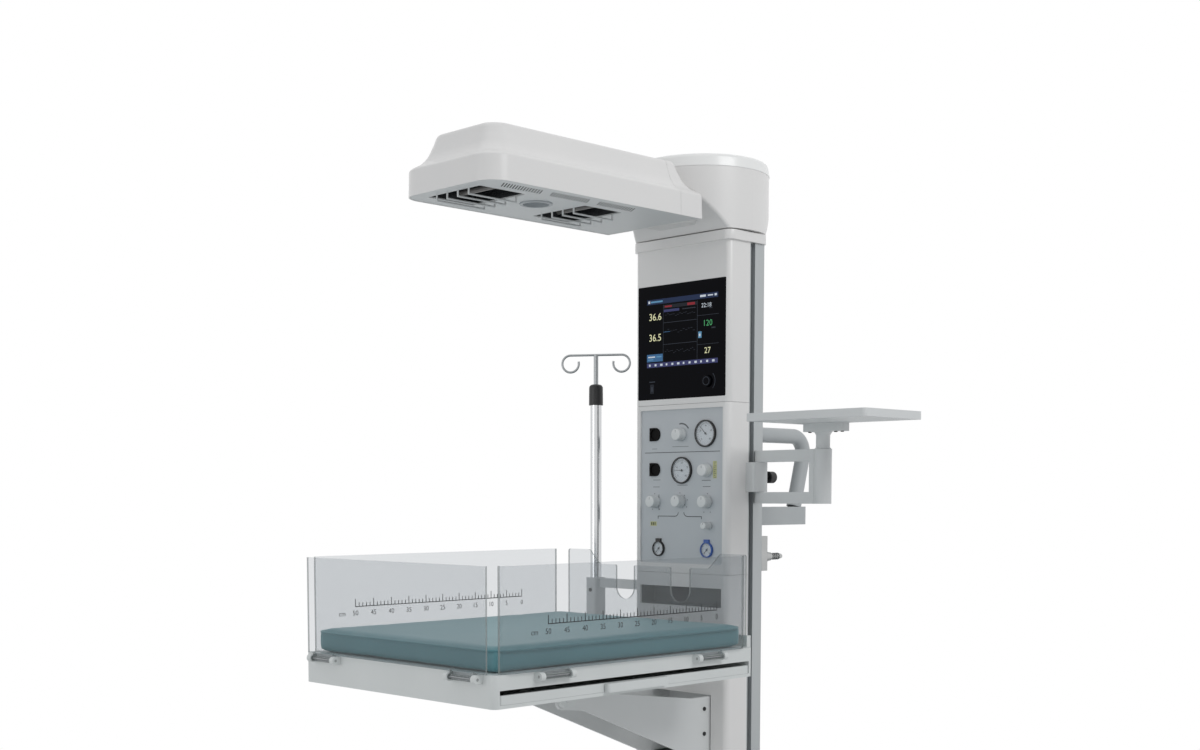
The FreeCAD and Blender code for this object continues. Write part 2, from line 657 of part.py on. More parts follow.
def underside():
    """Base pan with two heater windows, their troughs, guards and elements."""
    low, high = "head_foot + pan_lift", "head_foot + pan_lift + pan_thick"
    lap = "head_wall + rest_gap"
    left, right = f"-head_left + {lap}", f"head_right - ({lap})"
    front, back, corner = f"head_front + {lap}", f"head_back - ({lap})", "head_corner - head_wall"
    loops = [[(left, front, corner), (right, front, corner), (right, back), (left, back)]]
    for _, start, end in WINDOWS:
        loops.append(rectangle("window_left", start, "window_right", end, 5))
    loops.append(("circle", 0, "lamp_middle", "lamp_bezel - 2"))
    pan = prism("head_pan", "XY", low, high, *loops)
    for start in ("front_vents", "mid_vents", "rear_vents"):
        slot = [("vent_across", start), ("vent_across + vent_length", f"{start} - vent_rake"),
                ("vent_across + vent_length", f"{start} - vent_rake + vent_width"),
                ("vent_across", f"{start} + vent_width")]
        repeated(pan, carve(pan, "XY", low, high, slot), "vent_pitch", "vent_count")
    keep("head_pan", pan)

    troughs, elements, guards = [], [], []
    for name, start, end in WINDOWS:
        around = "trough_wall + 2"
        trough = prism(f"{name}_trough", "XY", high, f"{high} + trough_depth",
                       rectangle(f"window_left - ({around})", f"{start} - ({around})",
                                 f"window_right + {around}", f"{end} + {around}", 6))
        carve(trough, "XY", high, f"{high} + trough_depth - trough_wall",
              rectangle("window_left - 2", f"{start} - 2", "window_right + 2", f"{end} + 2", 5))
        for side in (0.3, 0.7):
            line = f"{start} + ({end} - ({start})) * {side}"
            carve(trough, "YZ", "window_left - 5", "window_right + 5",
                  ("circle", line, f"{high} + element_lift", "element_radius + 0.05"))
            elements.append(rod(f"{name}_element", "element_radius",
                                "window_right - window_left + 14",
                                ("window_left - 7", line, f"{high} + element_lift"), "right"))
        troughs.append(trough)
        guards += guard_wires(name, start, end, low)
    grouped("heater_reflectors", *troughs)
    grouped("heater_elements", *elements)
    grouped("heater_guards", *guards)

    profile = [("lamp_bezel - 4", "lamp_drop", 1), ("lamp_bezel - 4", "-lamp_drop * 0.6"),
               ("lamp_bezel + 3", "-lamp_drop * 0.6", 1), ("lamp_bezel + 3", 0),
               ("lamp_bezel - 2", 0), ("lamp_bezel - 2", "lamp_drop + 12"),
               (0, "lamp_drop + 12"), (0, "-lamp_drop + 9"), ("lamp_radius - 12", "-lamp_drop + 9"),
               ("lamp_radius - 2", "lamp_drop")]
    keep("exam_lamp", turned("exam_lamp", profile, (0, "lamp_middle", low)))


def guard_wires(name, start, end, level):
    """Four staple-shaped wires across one window."""
    wires = []
    middle = "(window_left + window_right) / 2"
    drop = f"{level} - guard_drop"
    for i in range(4):
        x = f"{middle} + guard_pitch * {i - 1.5}"
        front, back = f"{start} - guard_wire", f"{end} + guard_wire"
        legs = [rod(f"{name}_leg", "guard_wire", "guard_drop", (x, y, drop))
                for y in (front, back)]
        run = rod(f"{name}_run", "guard_wire", f"({back}) - ({front})", (x, back, drop), "front")
        knees = []
        for y in (front, back):
            knee = doc.addObject("Part::Sphere", f"{name}_knee")
            tie(knee, Radius="guard_wire")
            knees.append(place(knee, (x, y, drop)))
        wires.append(joined(f"{name}_guard", *legs, run, *knees))
    return wires


def drip_pole():
    """Socket on the mast, chromed tube with a black cap, and the hook rod."""
    left = "pole_across - socket_width / 2"
    right = "pole_across + socket_width / 2"
    socket = prism("socket", "XY", "socket_foot", "socket_top",
                   rectangle(left, "pole_back - socket_width / 2", right,
                             "pole_back + socket_width / 2", 8))
    arm = block("socket_arm", f"{right} - 5", f"-({HALF_COLUMN})", "pole_back - arm_thick / 2",
                "pole_back + arm_thick / 2", "arm_top - arm_height", "arm_top")
    key = block("slot_key", f"-({HALF_COLUMN}) - 1", f"-({HALF_COLUMN}) + slot_depth - 1",
                "cover_depth + slot_inset + 0.5", "cover_depth + slot_inset + slot_width - 0.5",
                "arm_top - arm_height", "arm_top")
    bore = rod("pole_bore", "pole_radius + fit_gap", "socket_top - pole_foot + 1",
               ("pole_across", "pole_back", "pole_foot"))
    keep("iv_bracket", less("iv_bracket", joined("iv_holder", socket, arm, key), bore))

    tube = prism("iv_tube", "XY", "pole_foot", "pole_top",
                 ("circle", "pole_across", "pole_back", "pole_radius"),
                 ("circle", "pole_across", "pole_back", "pole_radius - pole_wall"))
    keep("iv_tube", tube)
    cap = turned("iv_cap",
                 [("pole_radius + fit_gap", "-cap_lap"), ("cap_radius", "-cap_lap"),
                  ("cap_radius - 0.5", "cap_length - cap_lap", "cap_radius - rod_radius - 3"),
                  ("rod_radius + fit_gap", "cap_length - cap_lap"),
                  ("rod_radius + fit_gap", "rest_gap"), ("pole_radius + fit_gap", "rest_gap")],
                 ("pole_across", "pole_back", "pole_top"))
    keep("iv_cap", cap)

    stem = rod("hook_stem", "rod_radius", "rod_rise - pole_top + rod_reach",
               ("pole_across", "pole_back", "pole_top - rod_reach"))
    path = hook_path()
    first = path.Edges[0]
    section = Part.Wire(Part.Circle(first.valueAt(first.FirstParameter),
                                    first.tangentAt(first.FirstParameter),
                                    size("hook_wire")).toShape())
    hooks = plain("hook_bar_solid", path.makePipeShell([section], True, False))
    hooks.Placement = Placement(spot("pole_across", "pole_back", "rod_rise"),
                                Rotation(Vector(0, 0, 1), size("hook_turn")))
    keep("iv_rod", joined("iv_rod", stem, hooks))


def hook_path():
    """One wire: a straight bar whose ends curl down into open loops."""
    reach, loop = size("hook_bar"), size("hook_loop")
    tail = math.radians(285)

    def loop_end(side):
        centre = Vector(side * reach, 0, -loop)
        start = Vector(side * reach, 0, 0)
        middle = centre + Vector(side * math.sin(tail / 2), 0, math.cos(tail / 2)) * loop
        end = centre + Vector(side * math.sin(tail), 0, math.cos(tail)) * loop
        return start, middle, end
    start, middle, end = loop_end(-1)
    left = Part.Arc(end, middle, start).toShape()
    bar = Part.LineSegment(Vector(-reach, 0, 0), Vector(reach, 0, 0)).toShape()
    right = Part.Arc(*loop_end(1)).toShape()
    return Part.Wire([left, bar, right])


def side_shelf():
    """Rail clamp, forked arm, post and shelf plate on the right side."""
    out = f"{HALF_COLUMN} + clamp_out"
    clamp = prism("clamp_block", "XY", "clamp_foot", "clamp_top",
                  [(HALF_COLUMN, "clamp_front"), (out, "clamp_front", 6),
                   (out, "clamp_front + clamp_depth", 4),
                   (HALF_COLUMN, "clamp_front + clamp_depth")])
    key = block("clamp_key", f"{HALF_COLUMN} - slot_depth + 1", f"{HALF_COLUMN} + 1",
                "cover_depth + slot_inset + 0.5", "cover_depth + slot_inset + slot_width - 0.5",
                "clamp_foot", "clamp_top")
    pin = rod("clamp_pin", "pivot_pin", "clamp_top - clamp_foot + 2 * arm_deep",
              ("pivot_across", "pivot_back", "clamp_foot - arm_deep"))
    middle = ("clamp_knob_across", "clamp_front + clamp_depth", "(clamp_foot + clamp_top) / 2")
    bore = rod("knob_bore", "clamp_stud + fit_gap", "clamp_stud_depth + 2", middle, "front")
    keep("shelf_clamp", less("shelf_clamp", joined("clamp", clamp, key, pin), bore))

    head = "clamp_stud_reach + clamp_knob_length"
    knob = turned("clamp_knob",
                  [(0, "-clamp_stud_depth"), ("clamp_stud", "-clamp_stud_depth"),
                   ("clamp_stud", "clamp_stud_reach"), ("clamp_knob", "clamp_stud_reach", 1.5),
                   ("clamp_knob", head, 3), (0, head)], middle, "back")
    keep("clamp_knob", knob)

    fork = doc.addObject("PartDesign::Body", "shelf_fork")
    low_foot, low_top = "clamp_foot - arm_gap - arm_deep", "clamp_foot - arm_gap"
    high_foot, high_top = "clamp_top + arm_gap", "clamp_top + arm_gap + arm_deep"
    reach = "shelf_reach - sleeve_radius"
    grow(fork, "XY", low_foot, high_top,
         rectangle(f"{reach} - web_thick", "-arm_radius", f"{reach} + 6", "arm_radius"))
    for low, high in ((low_foot, low_top), (high_foot, high_top)):
        grow(fork, "XY", low, high,
             [("-arm_radius", "-arm_radius", "arm_radius - 0.2"), (reach, "-arm_radius"),
              (reach, "arm_radius"), ("-arm_radius", "arm_radius", "arm_radius - 0.2")])
    grow(fork, "XY", low_foot, high_top, ("circle", "shelf_reach", 0, "sleeve_radius"))
    carve(fork, "XY", low_foot, high_top, ("circle", "shelf_reach", 0, "post_radius + fit_gap"))
    carve(fork, "XY", low_foot, high_top, ("circle", 0, 0, "pivot_pin + fit_gap"))
    place(fork, ("pivot_across", "pivot_back", 0), "up", size("shelf_turn"))
    keep("shelf_fork", fork)

    post_x = "pivot_across + shelf_reach * cos(shelf_turn)"
    post_y = "pivot_back + shelf_reach * sin(shelf_turn)"
    sleeve_top = high_top
    post = turned("post",
                  [(0, "post_top - post_drop"), ("post_radius", "post_top - post_drop"),
                   ("post_radius", sleeve_top), ("post_radius + 2.5", f"{sleeve_top} + arm_gap"),
                   ("post_radius", f"{sleeve_top} + 4"),
                   ("post_radius", "post_top - 8"), ("post_radius + 5", "post_top"),
                   (0, "post_top")],
                  (post_x, post_y, 0))
    bracket = prism("bracket", "XY", "post_top", "plate_foot",
                    rectangle(f"{post_x} - 46", f"{post_y} - 22", f"{post_x} + 66",
                              f"{post_y} + 16", 12))
    keep("shelf_post", joined("shelf_post", post, bracket))

    plate = prism("shelf_top", "XY", "plate_foot", "plate_foot + plate_thick",
                  rectangle("plate_left", "plate_front", "plate_right", "plate_back",
                            "plate_corner"))
    carve(plate, "XY", "plate_foot + plate_wall", "plate_foot + plate_thick",
          rectangle("plate_left + plate_wall", "plate_front + plate_wall",
                    "plate_right - plate_wall", "plate_back - plate_wall",
                    "plate_corner - plate_wall"))
    keep("shelf_top", plate)


def handles():
    """Two push handles behind the mast, each a bent tube on a lower block."""
    back = "cover_depth + mast_depth"
    pieces = []
    for name, side in (("left", "-"), ("right", "")):
        x = size(f"{side}handle_across")
        top, low = size("handle_top"), size("block_top")
        corner = Vector(x, size("handle_back"), top)
        start = Vector(x, size(back), top)
        end = Vector(x, size("handle_low_back"), low)
        before = (start - corner).normalize()
        after = (end - corner).normalize()
        run = size("handle_bend") / math.tan(before.getAngle(after) / 2)
        enter, leave = corner + before * run, corner + after * run
        inward = (before + after).normalize()
        centre = corner + inward * (size("handle_bend") / math.sin(before.getAngle(after) / 2))
        middle = centre - inward * size("handle_bend")
        path = Part.Wire([Part.LineSegment(start, enter).toShape(),
                          Part.Arc(enter, middle, leave).toShape(),
                          Part.LineSegment(leave, end).toShape()])
        ring = Part.Wire(Part.Circle(start, Vector(0, 1, 0), size("handle_radius")).toShape())
        bore = Part.Wire(Part.Circle(start, Vector(0, 1, 0),
                                     size("handle_radius - handle_wall")).toShape())
        tube = path.makePipeShell([ring], True, False)
        core = path.makePipeShell([bore], True, False)
        below = block(f"{name}_trim", x - 60, x + 60, back, 500, 900, "block_top")
        bar = less(f"{name}_tube", plain(f"{name}_bar", tube.cut(core)), below)
        half = "block_width / 2"
        foot = prism(f"{name}_block", "XY", "block_top - block_height", "block_top",
                     [(f"{side}handle_across - {half}", back),
                      (f"{side}handle_across + {half}", back),
                      (f"{side}handle_across + {half}", "block_back", "block_corner"),
                      (f"{side}handle_across - {half}", "block_back", "block_corner")])
        pieces += [bar, foot]
    grouped("push_handles", *pieces)

    plate_top = "block_top - block_height - inlet_drop"
    plate = block("inlet_plate", "inlet_across - inlet_wide / 2", "inlet_across + inlet_wide / 2",
                  back, f"{back} + inlet_thick", f"{plate_top} - inlet_plate", plate_top)
    ridges = []
    for i in range(4):
        reach = f"inlet_thick + 30 + barb_pitch * {i}"
        ridges += [("barb_radius - 2.2", reach), ("barb_radius", reach)]
    barb = turned("inlet_barb",
                  [(0, "inlet_thick - 2"), ("inlet_body", "inlet_thick - 2"),
                   ("inlet_body", "inlet_thick + 12", 2), ("inlet_neck", "inlet_thick + 12"),
                   ("inlet_neck", "inlet_thick + 24", 1),
                   ("barb_radius - 2.2", "inlet_thick + 24"), *ridges,
                   ("barb_radius - 3", "inlet_thick + barb_length"),
                   (0, "inlet_thick + barb_length")],
                  ("inlet_across", back, f"{plate_top} - inlet_plate / 2 - barb_drop"), "back")
    keep("gas_inlet", joined("gas_inlet", plate, barb))


def bed_edges():
    """The tray's outline, as left, right, foot and head expressions."""
    side = "bed_width / 2 - sheet_thick / 2 - tray_gap"
    foot = "bed_foot + sheet_thick / 2 + tray_gap"
    return f"-({side})", side, foot, "bed_head - sheet_thick / 2 - tray_gap"


def bed():
    """Tilting tray with mattress, cassette drawer and four clear panels."""
    left, right, foot, head = bed_edges()
    top = "mattress_top - mattress_thick - rest_gap"
    cavity = "tray_foot + tray_wall"
    tray = prism("tray_shell", "XY", "tray_foot", top,
                 rectangle(left, foot, right, head, "tray_corner"))
    carve(tray, "YZ", f"{left} + tray_wall * 3", right,
          rectangle(f"{foot} + tray_wall * 2", cavity, f"{head} - tray_wall * 2",
                    f"{cavity} + cavity_height", "cassette_gap"))
    lug_low = "tilt_height - lug_radius"
    lug = [("tilt_middle - lug_radius * 1.6", "tray_foot"), ("tilt_middle - lug_radius", lug_low, 16),
           ("tilt_middle + lug_radius", lug_low, 16), ("tilt_middle + lug_radius * 1.6", "tray_foot")]
    parts = [tray]
    for name, inside, outside in (("right", "lug_across", "lug_across + lug_thick"),
                                  ("left", "-(lug_across + lug_thick)", "-lug_across")):
        ear = prism(f"{name}_lug", "YZ", inside, outside, lug)
        carve(ear, "YZ", inside, outside,
              ("circle", "tilt_middle", "tilt_height", "tilt_shaft + fit_gap"))
        parts.append(ear)
    pins, ears = [], []
    for name in PANELS:
        for ear, pin in hinge_parts(name):
            ears.append(ear)
            pins.append(pin)
    parts += [ear for pair in ears for ear in pair]
    rail = block("head_rail", "-head_half - 8", "head_half + 8", f"{head} - 1",
                 "bed_head + sheet_thick / 2 + 6", "sheet_foot - 14", "sheet_foot + 24")
    groove = block("head_groove", "-head_half - 0.4", "head_half + 0.4",
                   "bed_head - sheet_thick / 2 - 0.4", "bed_head + sheet_thick / 2 + 0.4",
                   "sheet_foot - rest_gap", "sheet_foot + 30")
    parts.append(rail)
    keep("bed_tray", less("bed_tray", joined("tray", *parts), groove, *pins))
    grouped("hinge_pins", *[doc.copyObject(pin) for pin in pins])

    inset = "sheet_thick / 2 + mattress_gap"
    pad = prism("mattress", "XY", "mattress_top - mattress_thick", "mattress_top",
                rectangle(f"-(bed_width / 2 - ({inset}))", f"bed_foot + {inset}",
                          f"bed_width / 2 - ({inset})", f"bed_head - ({inset})",
                          "mattress_corner"))
    keep("mattress", pad)

    gap = "cassette_gap"
    floor = f"{cavity} + rest_gap"
    drawer = prism("xray_tray", "XY", floor, f"{floor} + cassette_thick",
                   rectangle(f"{left} + tray_wall * 3 + {gap}", f"{foot} + tray_wall * 2 + {gap}",
                             right, f"{head} - tray_wall * 2 - {gap}", 4))
    carve(drawer, "XY", f"{floor} + 3", f"{floor} + cassette_thick",
          rectangle(f"{left} + tray_wall * 4", f"{foot} + tray_wall * 3", f"{right} - tray_wall",
                    f"{head} - tray_wall * 3", 4))
    middle = "(bed_foot + bed_head) / 2"
    grow(drawer, "XY", floor, f"{floor} + cassette_thick",
         rectangle(f"{right} - 1", f"{middle} - 90", f"{right} + cassette_grip", f"{middle} + 90", 6))
    keep("xray_tray", drawer)
    panels()


# Each folding panel: the direction it faces, its plane and its hinge line.
PANELS = {
    "right": ("x", "", "bed_width / 2"),
    "left": ("x", "-", "bed_width / 2"),
    "foot": ("y", "-", "bed_foot"),
}


def hinge_line(name):
    """Across position and height of a panel's hinge, and its two stations."""
    axis, side, plane = PANELS[name]
    height = "sheet_foot - hinge_drop"
    if axis == "x":
        across = f"{side}({plane} + hinge_out)"
        middle = "(side_front + side_back) / 2"
    else:
        across = f"{plane} - hinge_out"
        middle = "0"
    return axis, across, height, [f"{middle} - hinge_spread", f"{middle} + hinge_spread"]


def hinge_parts(name):
    """The tray's ears and the pin of both hinge stations of a panel."""
    axis, across, height, stations = hinge_line(name)
    left, right, foot, head = bed_edges()
    pairs = []
    for number, station in enumerate(stations):
        ears = []
        for side in (-1, 1):
            near = f"{station} + ({side}) * (barrel_length / 2 + ear_gap)"
            far = f"{near} + ({side}) * ear_thick"
            low, high = (far, near) if side < 0 else (near, far)
            if axis == "x":
                edge = right if name == "right" else left
                body = block(f"{name}_ear", *sorted((edge, across), key=size), low, high,
                             f"{height} - ear_radius", f"{height} + ear_radius")
                drum = rod(f"{name}_ear_end", "ear_radius", "ear_thick", (across, high, height),
                           "front")
            else:
                body = block(f"{name}_ear", low, high, across, foot, f"{height} - ear_radius",
                             f"{height} + ear_radius")
                drum = rod(f"{name}_ear_end", "ear_radius", "ear_thick", (low, across, height),
                           "right")
            ears += [body, drum]
        length = "barrel_length + 2 * ear_gap + 2 * ear_thick"
        if axis == "x":
            pin = rod(f"{name}_pin", "hinge_pin", length,
                      (across, f"{station} + ({length}) / 2", height), "front")
        else:
            pin = rod(f"{name}_pin", "hinge_pin", length,
                      (f"{station} - ({length}) / 2", across, height), "right")
        pairs.append((ears, pin))
    return pairs


def panels():
    """Four clear sheets: bent-in sides, a plain foot and a notched head."""
    thick = "sheet_thick / 2"
    for name in ("right", "left"):
        sheet_body = doc.addObject("PartDesign::Body", f"{name}_sheet")
        add_side_sheet(sheet_body, 1 if name == "right" else -1)
        finish_panel(name, sheet_body)
    flat = prism("foot_sheet", "XY", "sheet_foot", "sheet_top",
                 rectangle("-foot_half", f"bed_foot - {thick}", "foot_half",
                           f"bed_foot + {thick}", 1))
    finish_panel("foot", flat)

    low, high = "sheet_foot", "sheet_top"
    step_in = "head_shoulder - head_step"
    notch_left, notch_right = "notch_across - notch_width / 2", "notch_across + notch_width / 2"
    outline = [
        ("-head_half", low, 3), ("head_half", low, 3), ("head_half", high, 6),
        ("head_shoulder", high, 14), (step_in, "head_low", 14),
        (notch_right, "head_low", 4), (notch_right, "notch_foot", "notch_width / 2 - 0.2"),
        (notch_left, "notch_foot", "notch_width / 2 - 0.2"), (notch_left, "head_low", 4),
        (f"-({notch_left})", "head_low", 4),
        (f"-({notch_left})", "notch_foot", "notch_width / 2 - 0.2"),
        (f"-({notch_right})", "notch_foot", "notch_width / 2 - 0.2"),
        (f"-({notch_right})", "head_low", 4), (f"-({step_in})", "head_low", 14),
        ("-head_shoulder", high, 14), ("-head_half", high, 6),
    ]
    keep("panel_head", prism("panel_head", "XZ", f"bed_head - {thick}", f"bed_head + {thick}",
                             outline))


def add_side_sheet(body, side):
    """A side sheet in plan: straight, with both ends bent towards the bed."""
    plane = size("bed_width / 2")
    half = size("sheet_thick / 2")
    bend, angle = size("sheet_bend"), math.radians(size("bend_angle"))
    front, back = size("side_front"), size("side_back")
    drop = bend * math.sin(angle)
    centres = {-1: front + drop, 1: back - drop}

    def at(end, radius, turn):
        return Vector(side * (plane - bend + radius * math.cos(turn)),
                      centres[end] + end * radius * math.sin(turn), 0)
    outer, inner = bend + half, bend - half
    loop = []
    for start, stop, radius in ((-1, 1, outer), (1, -1, inner)):
        loop.append(Part.LineSegment(at(start, radius, 0), at(stop, radius, 0)).toShape())
        loop.append(Part.Arc(at(stop, radius, 0), at(stop, radius, angle / 2),
                             at(stop, radius, angle)).toShape())
        other = inner if radius == outer else outer
        loop.append(Part.LineSegment(at(stop, radius, angle), at(stop, other, angle)).toShape())
        loop.append(Part.Arc(at(stop, other, angle), at(stop, other, angle / 2),
                             at(stop, other, 0)).toShape())
    wire = Part.Wire(Part.sortEdges(loop)[0])
    face = Part.Face(wire)
    solid = face.extrude(Vector(0, 0, size("sheet_top - sheet_foot")))
    solid.translate(Vector(0, 0, size("sheet_foot")))
    base = body.newObject("PartDesign::Feature", body.Name + "_base")
    base.Shape = solid


def finish_panel(name, sheet_body):
    """Join a sheet to its two hinge barrels."""
    axis, across, height, stations = hinge_line(name)
    pieces, bores = [sheet_body], []
    for station in stations:
        low, high = f"{station} - barrel_length / 2", f"{station} + barrel_length / 2"
        plane = PANELS[name][2]
        if axis == "x":
            inner = f"{PANELS[name][1]}({plane} - sheet_thick / 2 + 1)"
            web = block(f"{name}_web", *sorted((inner, across), key=size), low, high,
                        height, "sheet_foot + 3")
            barrel = rod(f"{name}_barrel", "barrel_radius", "barrel_length",
                         (across, high, height), "front")
            bore = rod(f"{name}_bore", "hinge_pin + fit_gap", "barrel_length + 4",
                       (across, f"{high} + 2", height), "front")
        else:
            web = block(f"{name}_web", low, high, across, f"{plane} + sheet_thick / 2 - 1",
                        height, "sheet_foot + 3")
            barrel = rod(f"{name}_barrel", "barrel_radius", "barrel_length",
                         (low, across, height), "right")
            bore = rod(f"{name}_bore", "hinge_pin + fit_gap", "barrel_length + 4",
                       (f"{low} - 2", across, height), "right")
        pieces += [web, barrel]
        bores.append(bore)
    label = f"panel_{name}"
    keep(label, less(label, joined(f"{name}_whole", *pieces), *bores))


def bed_support():
    """Two cheeks from the mast, under the tray, with the tilt shaft."""
    inner, outer = "lug_across - cheek_gap - cheek_thick", "lug_across - cheek_gap"
    profile = [
        ("cover_depth", "cheek_root"), ("cover_depth", "cheek_top"), ("-60", "cheek_top", 30),
        ("tilt_middle + 40", "tilt_height + 10", 20), ("tilt_middle - 22", "tilt_height + 10", 12),
        ("tilt_middle - 22", "tilt_height - 24", 18), ("tilt_middle + 60", "tilt_height - 34", 60),
        ("-30", "cheek_root", 50),
    ]
    right = prism("right_cheek", "YZ", inner, outer, profile)
    left = prism("left_cheek", "YZ", f"-({outer})", f"-({inner})", profile)
    flange = block("cheek_flange", f"-({outer})", outer, "cover_depth - 10", "cover_depth",
                   "cheek_root", "cheek_top")
    web = block("cheek_web", f"-({inner}) - 1", f"{inner} + 1", "tilt_middle + 110",
                "tilt_middle + 122", "tilt_height - 30", "tilt_height - 12")
    shaft = rod("tilt_shaft", "tilt_shaft", "2 * (lug_across + lug_thick) + 4",
                ("-(lug_across + lug_thick) - 2", "tilt_middle", "tilt_height"), "right")
    keep("bed_support", joined("bed_support", right, left, flange, web, shaft))


CORNERS = (("front_left", "-", "leg_front + caster_inset"),
           ("front_right", "", "leg_front + caster_inset"),
           ("rear_left", "-", "leg_back - caster_inset"),
           ("rear_right", "", "leg_back - caster_inset"))


def trolley():
    """H-shaped base, hollow underneath, on four swivel casters."""
    out, inn = "leg_across + leg_width / 2", "leg_across - leg_width / 2"
    top = "base_foot + leg_height"

    def plan(grow_by, corner):
        far, near = f"{out} - {grow_by}", f"{inn} + {grow_by}"
        front, back = f"leg_front + {grow_by}", f"leg_back - {grow_by}"
        cross_low, cross_high = f"cross_front + {grow_by}", f"cross_back - {grow_by}"
        half = [(far, front, corner), (far, back, corner), (near, back, corner),
                (near, cross_high, 12), (f"-({near})", cross_high, 12),
                (f"-({near})", back, corner), (f"-({far})", back, corner),
                (f"-({far})", front, corner), (f"-({near})", front, corner),
                (f"-({near})", cross_low, 12), (near, cross_low, 12), (near, front, corner)]
        return half
    base = prism("trolley_base", "XY", "base_foot", top, plan(0, "leg_corner"))
    carve(base, "XY", "base_foot", f"{top} - base_wall", plan("base_wall", "leg_corner - base_wall"))
    for _, side, y in CORNERS:
        grow(base, "XY", "base_foot", f"{top} - 1",
             ("circle", f"{side}leg_across", y, "boss_radius"))
        carve(base, "XY", "base_foot", "base_foot + stem_length + 2",
              ("circle", f"{side}leg_across", y, "stem_radius + fit_gap"))
    keep("trolley_base", base)
    for name, side, y in CORNERS:
        caster(name, f"{side}leg_across", y)


def caster(name, x, y):
    """A forked swivel caster, its wheel trailing towards the back."""
    half = "wheel_width / 2 + fork_gap"
    hub = "wheel_radius"
    fork = doc.addObject("PartDesign::Body", f"{name}_fork")
    cheek = [("-24", "fork_top"), ("24", "fork_top"), ("trail + 16", "fork_top - 30", 12),
             ("trail + 14", f"{hub} - 14", 12), ("trail - 14", f"{hub} - 14", 12),
             ("-22", "fork_top - 24", 8)]
    grow(fork, "XY", "fork_top - fork_wall", "fork_top",
         rectangle(f"-({half} + fork_wall)", "-26", f"{half} + fork_wall", "30", 8))
    grow(fork, "YZ", half, f"{half} + fork_wall", cheek)
    grow(fork, "YZ", f"-({half} + fork_wall)", f"-({half})", cheek)
    grow(fork, "XY", "fork_top", "base_foot - rest_gap", ("circle", 0, 0, "boss_radius"))
    grow(fork, "XY", "base_foot - rest_gap", "base_foot + stem_length", ("circle", 0, 0, "stem_radius"))
    grow(fork, "YZ", f"-({half} + fork_wall)", f"{half} + fork_wall",
         ("circle", "trail", hub, "axle_radius"))
    keep(f"{name}_fork", place(fork, (x, y, 0)))

    wheel = turned(f"{name}_wheel",
                   [("axle_radius + fit_gap", "-wheel_width / 2"), ("axle_radius * 2.4", "-wheel_width / 2"),
                    ("axle_radius * 2.6", "-wheel_width / 2 + 4"),
                    ("wheel_radius * 0.72", "-wheel_width / 2 + 4"),
                    ("wheel_radius * 0.74", "-wheel_width / 2"),
                    ("wheel_radius", "-wheel_width / 2", 6), ("wheel_radius", "wheel_width / 2", 6),
                    ("wheel_radius * 0.74", "wheel_width / 2"),
                    ("wheel_radius * 0.72", "wheel_width / 2 - 4"),
                    ("axle_radius * 2.6", "wheel_width / 2 - 4"),
                    ("axle_radius * 2.4", "wheel_width / 2"), ("axle_radius + fit_gap", "wheel_width / 2")],
                   (x, f"{y} + trail", "wheel_radius"), "right")
    keep(f"{name}_wheel", wheel)


def check():
    """Stop if any object failed or any sub-part is empty or broken."""
    doc.recompute()
    for thing in doc.Objects:
        if {"Invalid", "Error"} & set(thing.State):
            raise RuntimeError(f"{thing.Label}: {thing.State}")
    for label, node in nodes.items():
        shape = node.Shape
        if shape.isNull() or not shape.isValid() or not shape.Solids:
            raise RuntimeError(f"{label}: no valid solid")


def write():
    """Move the origin to the middle of the footprint and write each sub-part."""
    whole = FreeCAD.BoundBox()
    for node in nodes.values():
        whole.add(node.Shape.optimalBoundingBox())
    shift = Vector(-whole.Center.x, -whole.Center.y, -whole.ZMin)
    os.makedirs("parts", exist_ok=True)
    for label, node in nodes.items():
        shape = node.Shape.copy()
        shape.translate(shift)
        shape.exportStep(os.path.join("parts", label + ".step"))
    print(f"{len(nodes)} sub-parts, shift {tuple(round(v, 3) for v in shift)}, "
          f"size {whole.XLength:.1f} x {whole.YLength:.1f} x {whole.ZLength:.1f}")


for make in (column, display, gas_panel, heater_head, drip_pole, side_shelf, handles, bed,
             bed_support, trolley):
    make()
check()
write()
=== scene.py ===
import math

import bmesh
import bpy
from mathutils import Matrix, Vector


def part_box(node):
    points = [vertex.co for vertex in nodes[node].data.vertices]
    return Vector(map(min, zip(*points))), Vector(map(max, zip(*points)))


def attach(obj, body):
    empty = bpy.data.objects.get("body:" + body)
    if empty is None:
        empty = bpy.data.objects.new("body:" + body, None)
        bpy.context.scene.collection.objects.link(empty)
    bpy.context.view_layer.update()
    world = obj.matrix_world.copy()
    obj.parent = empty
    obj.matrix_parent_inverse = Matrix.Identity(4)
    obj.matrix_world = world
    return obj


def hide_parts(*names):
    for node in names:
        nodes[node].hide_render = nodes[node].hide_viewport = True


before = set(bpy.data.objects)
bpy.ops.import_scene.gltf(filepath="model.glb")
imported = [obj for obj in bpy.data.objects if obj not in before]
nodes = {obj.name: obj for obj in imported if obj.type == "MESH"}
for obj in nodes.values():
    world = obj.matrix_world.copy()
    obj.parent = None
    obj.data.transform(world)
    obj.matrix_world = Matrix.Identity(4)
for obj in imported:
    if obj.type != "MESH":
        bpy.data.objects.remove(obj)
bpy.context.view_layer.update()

millimetre = 0.001
glassSetBack = 0.5  # the display glass lies this far behind the covers' front

# The column's front face is at y = 0, its middle at x = 0, the floor at z = 0.
glassLow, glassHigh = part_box("display_glass")
origin = Vector(((glassLow.x + glassHigh.x) / 2,
                 glassLow.y - glassSetBack * millimetre, 0))


def at(x, y, z):
    # millimetres from the column's front to metres in the frame
    return origin + Vector((x, y, z)) * millimetre


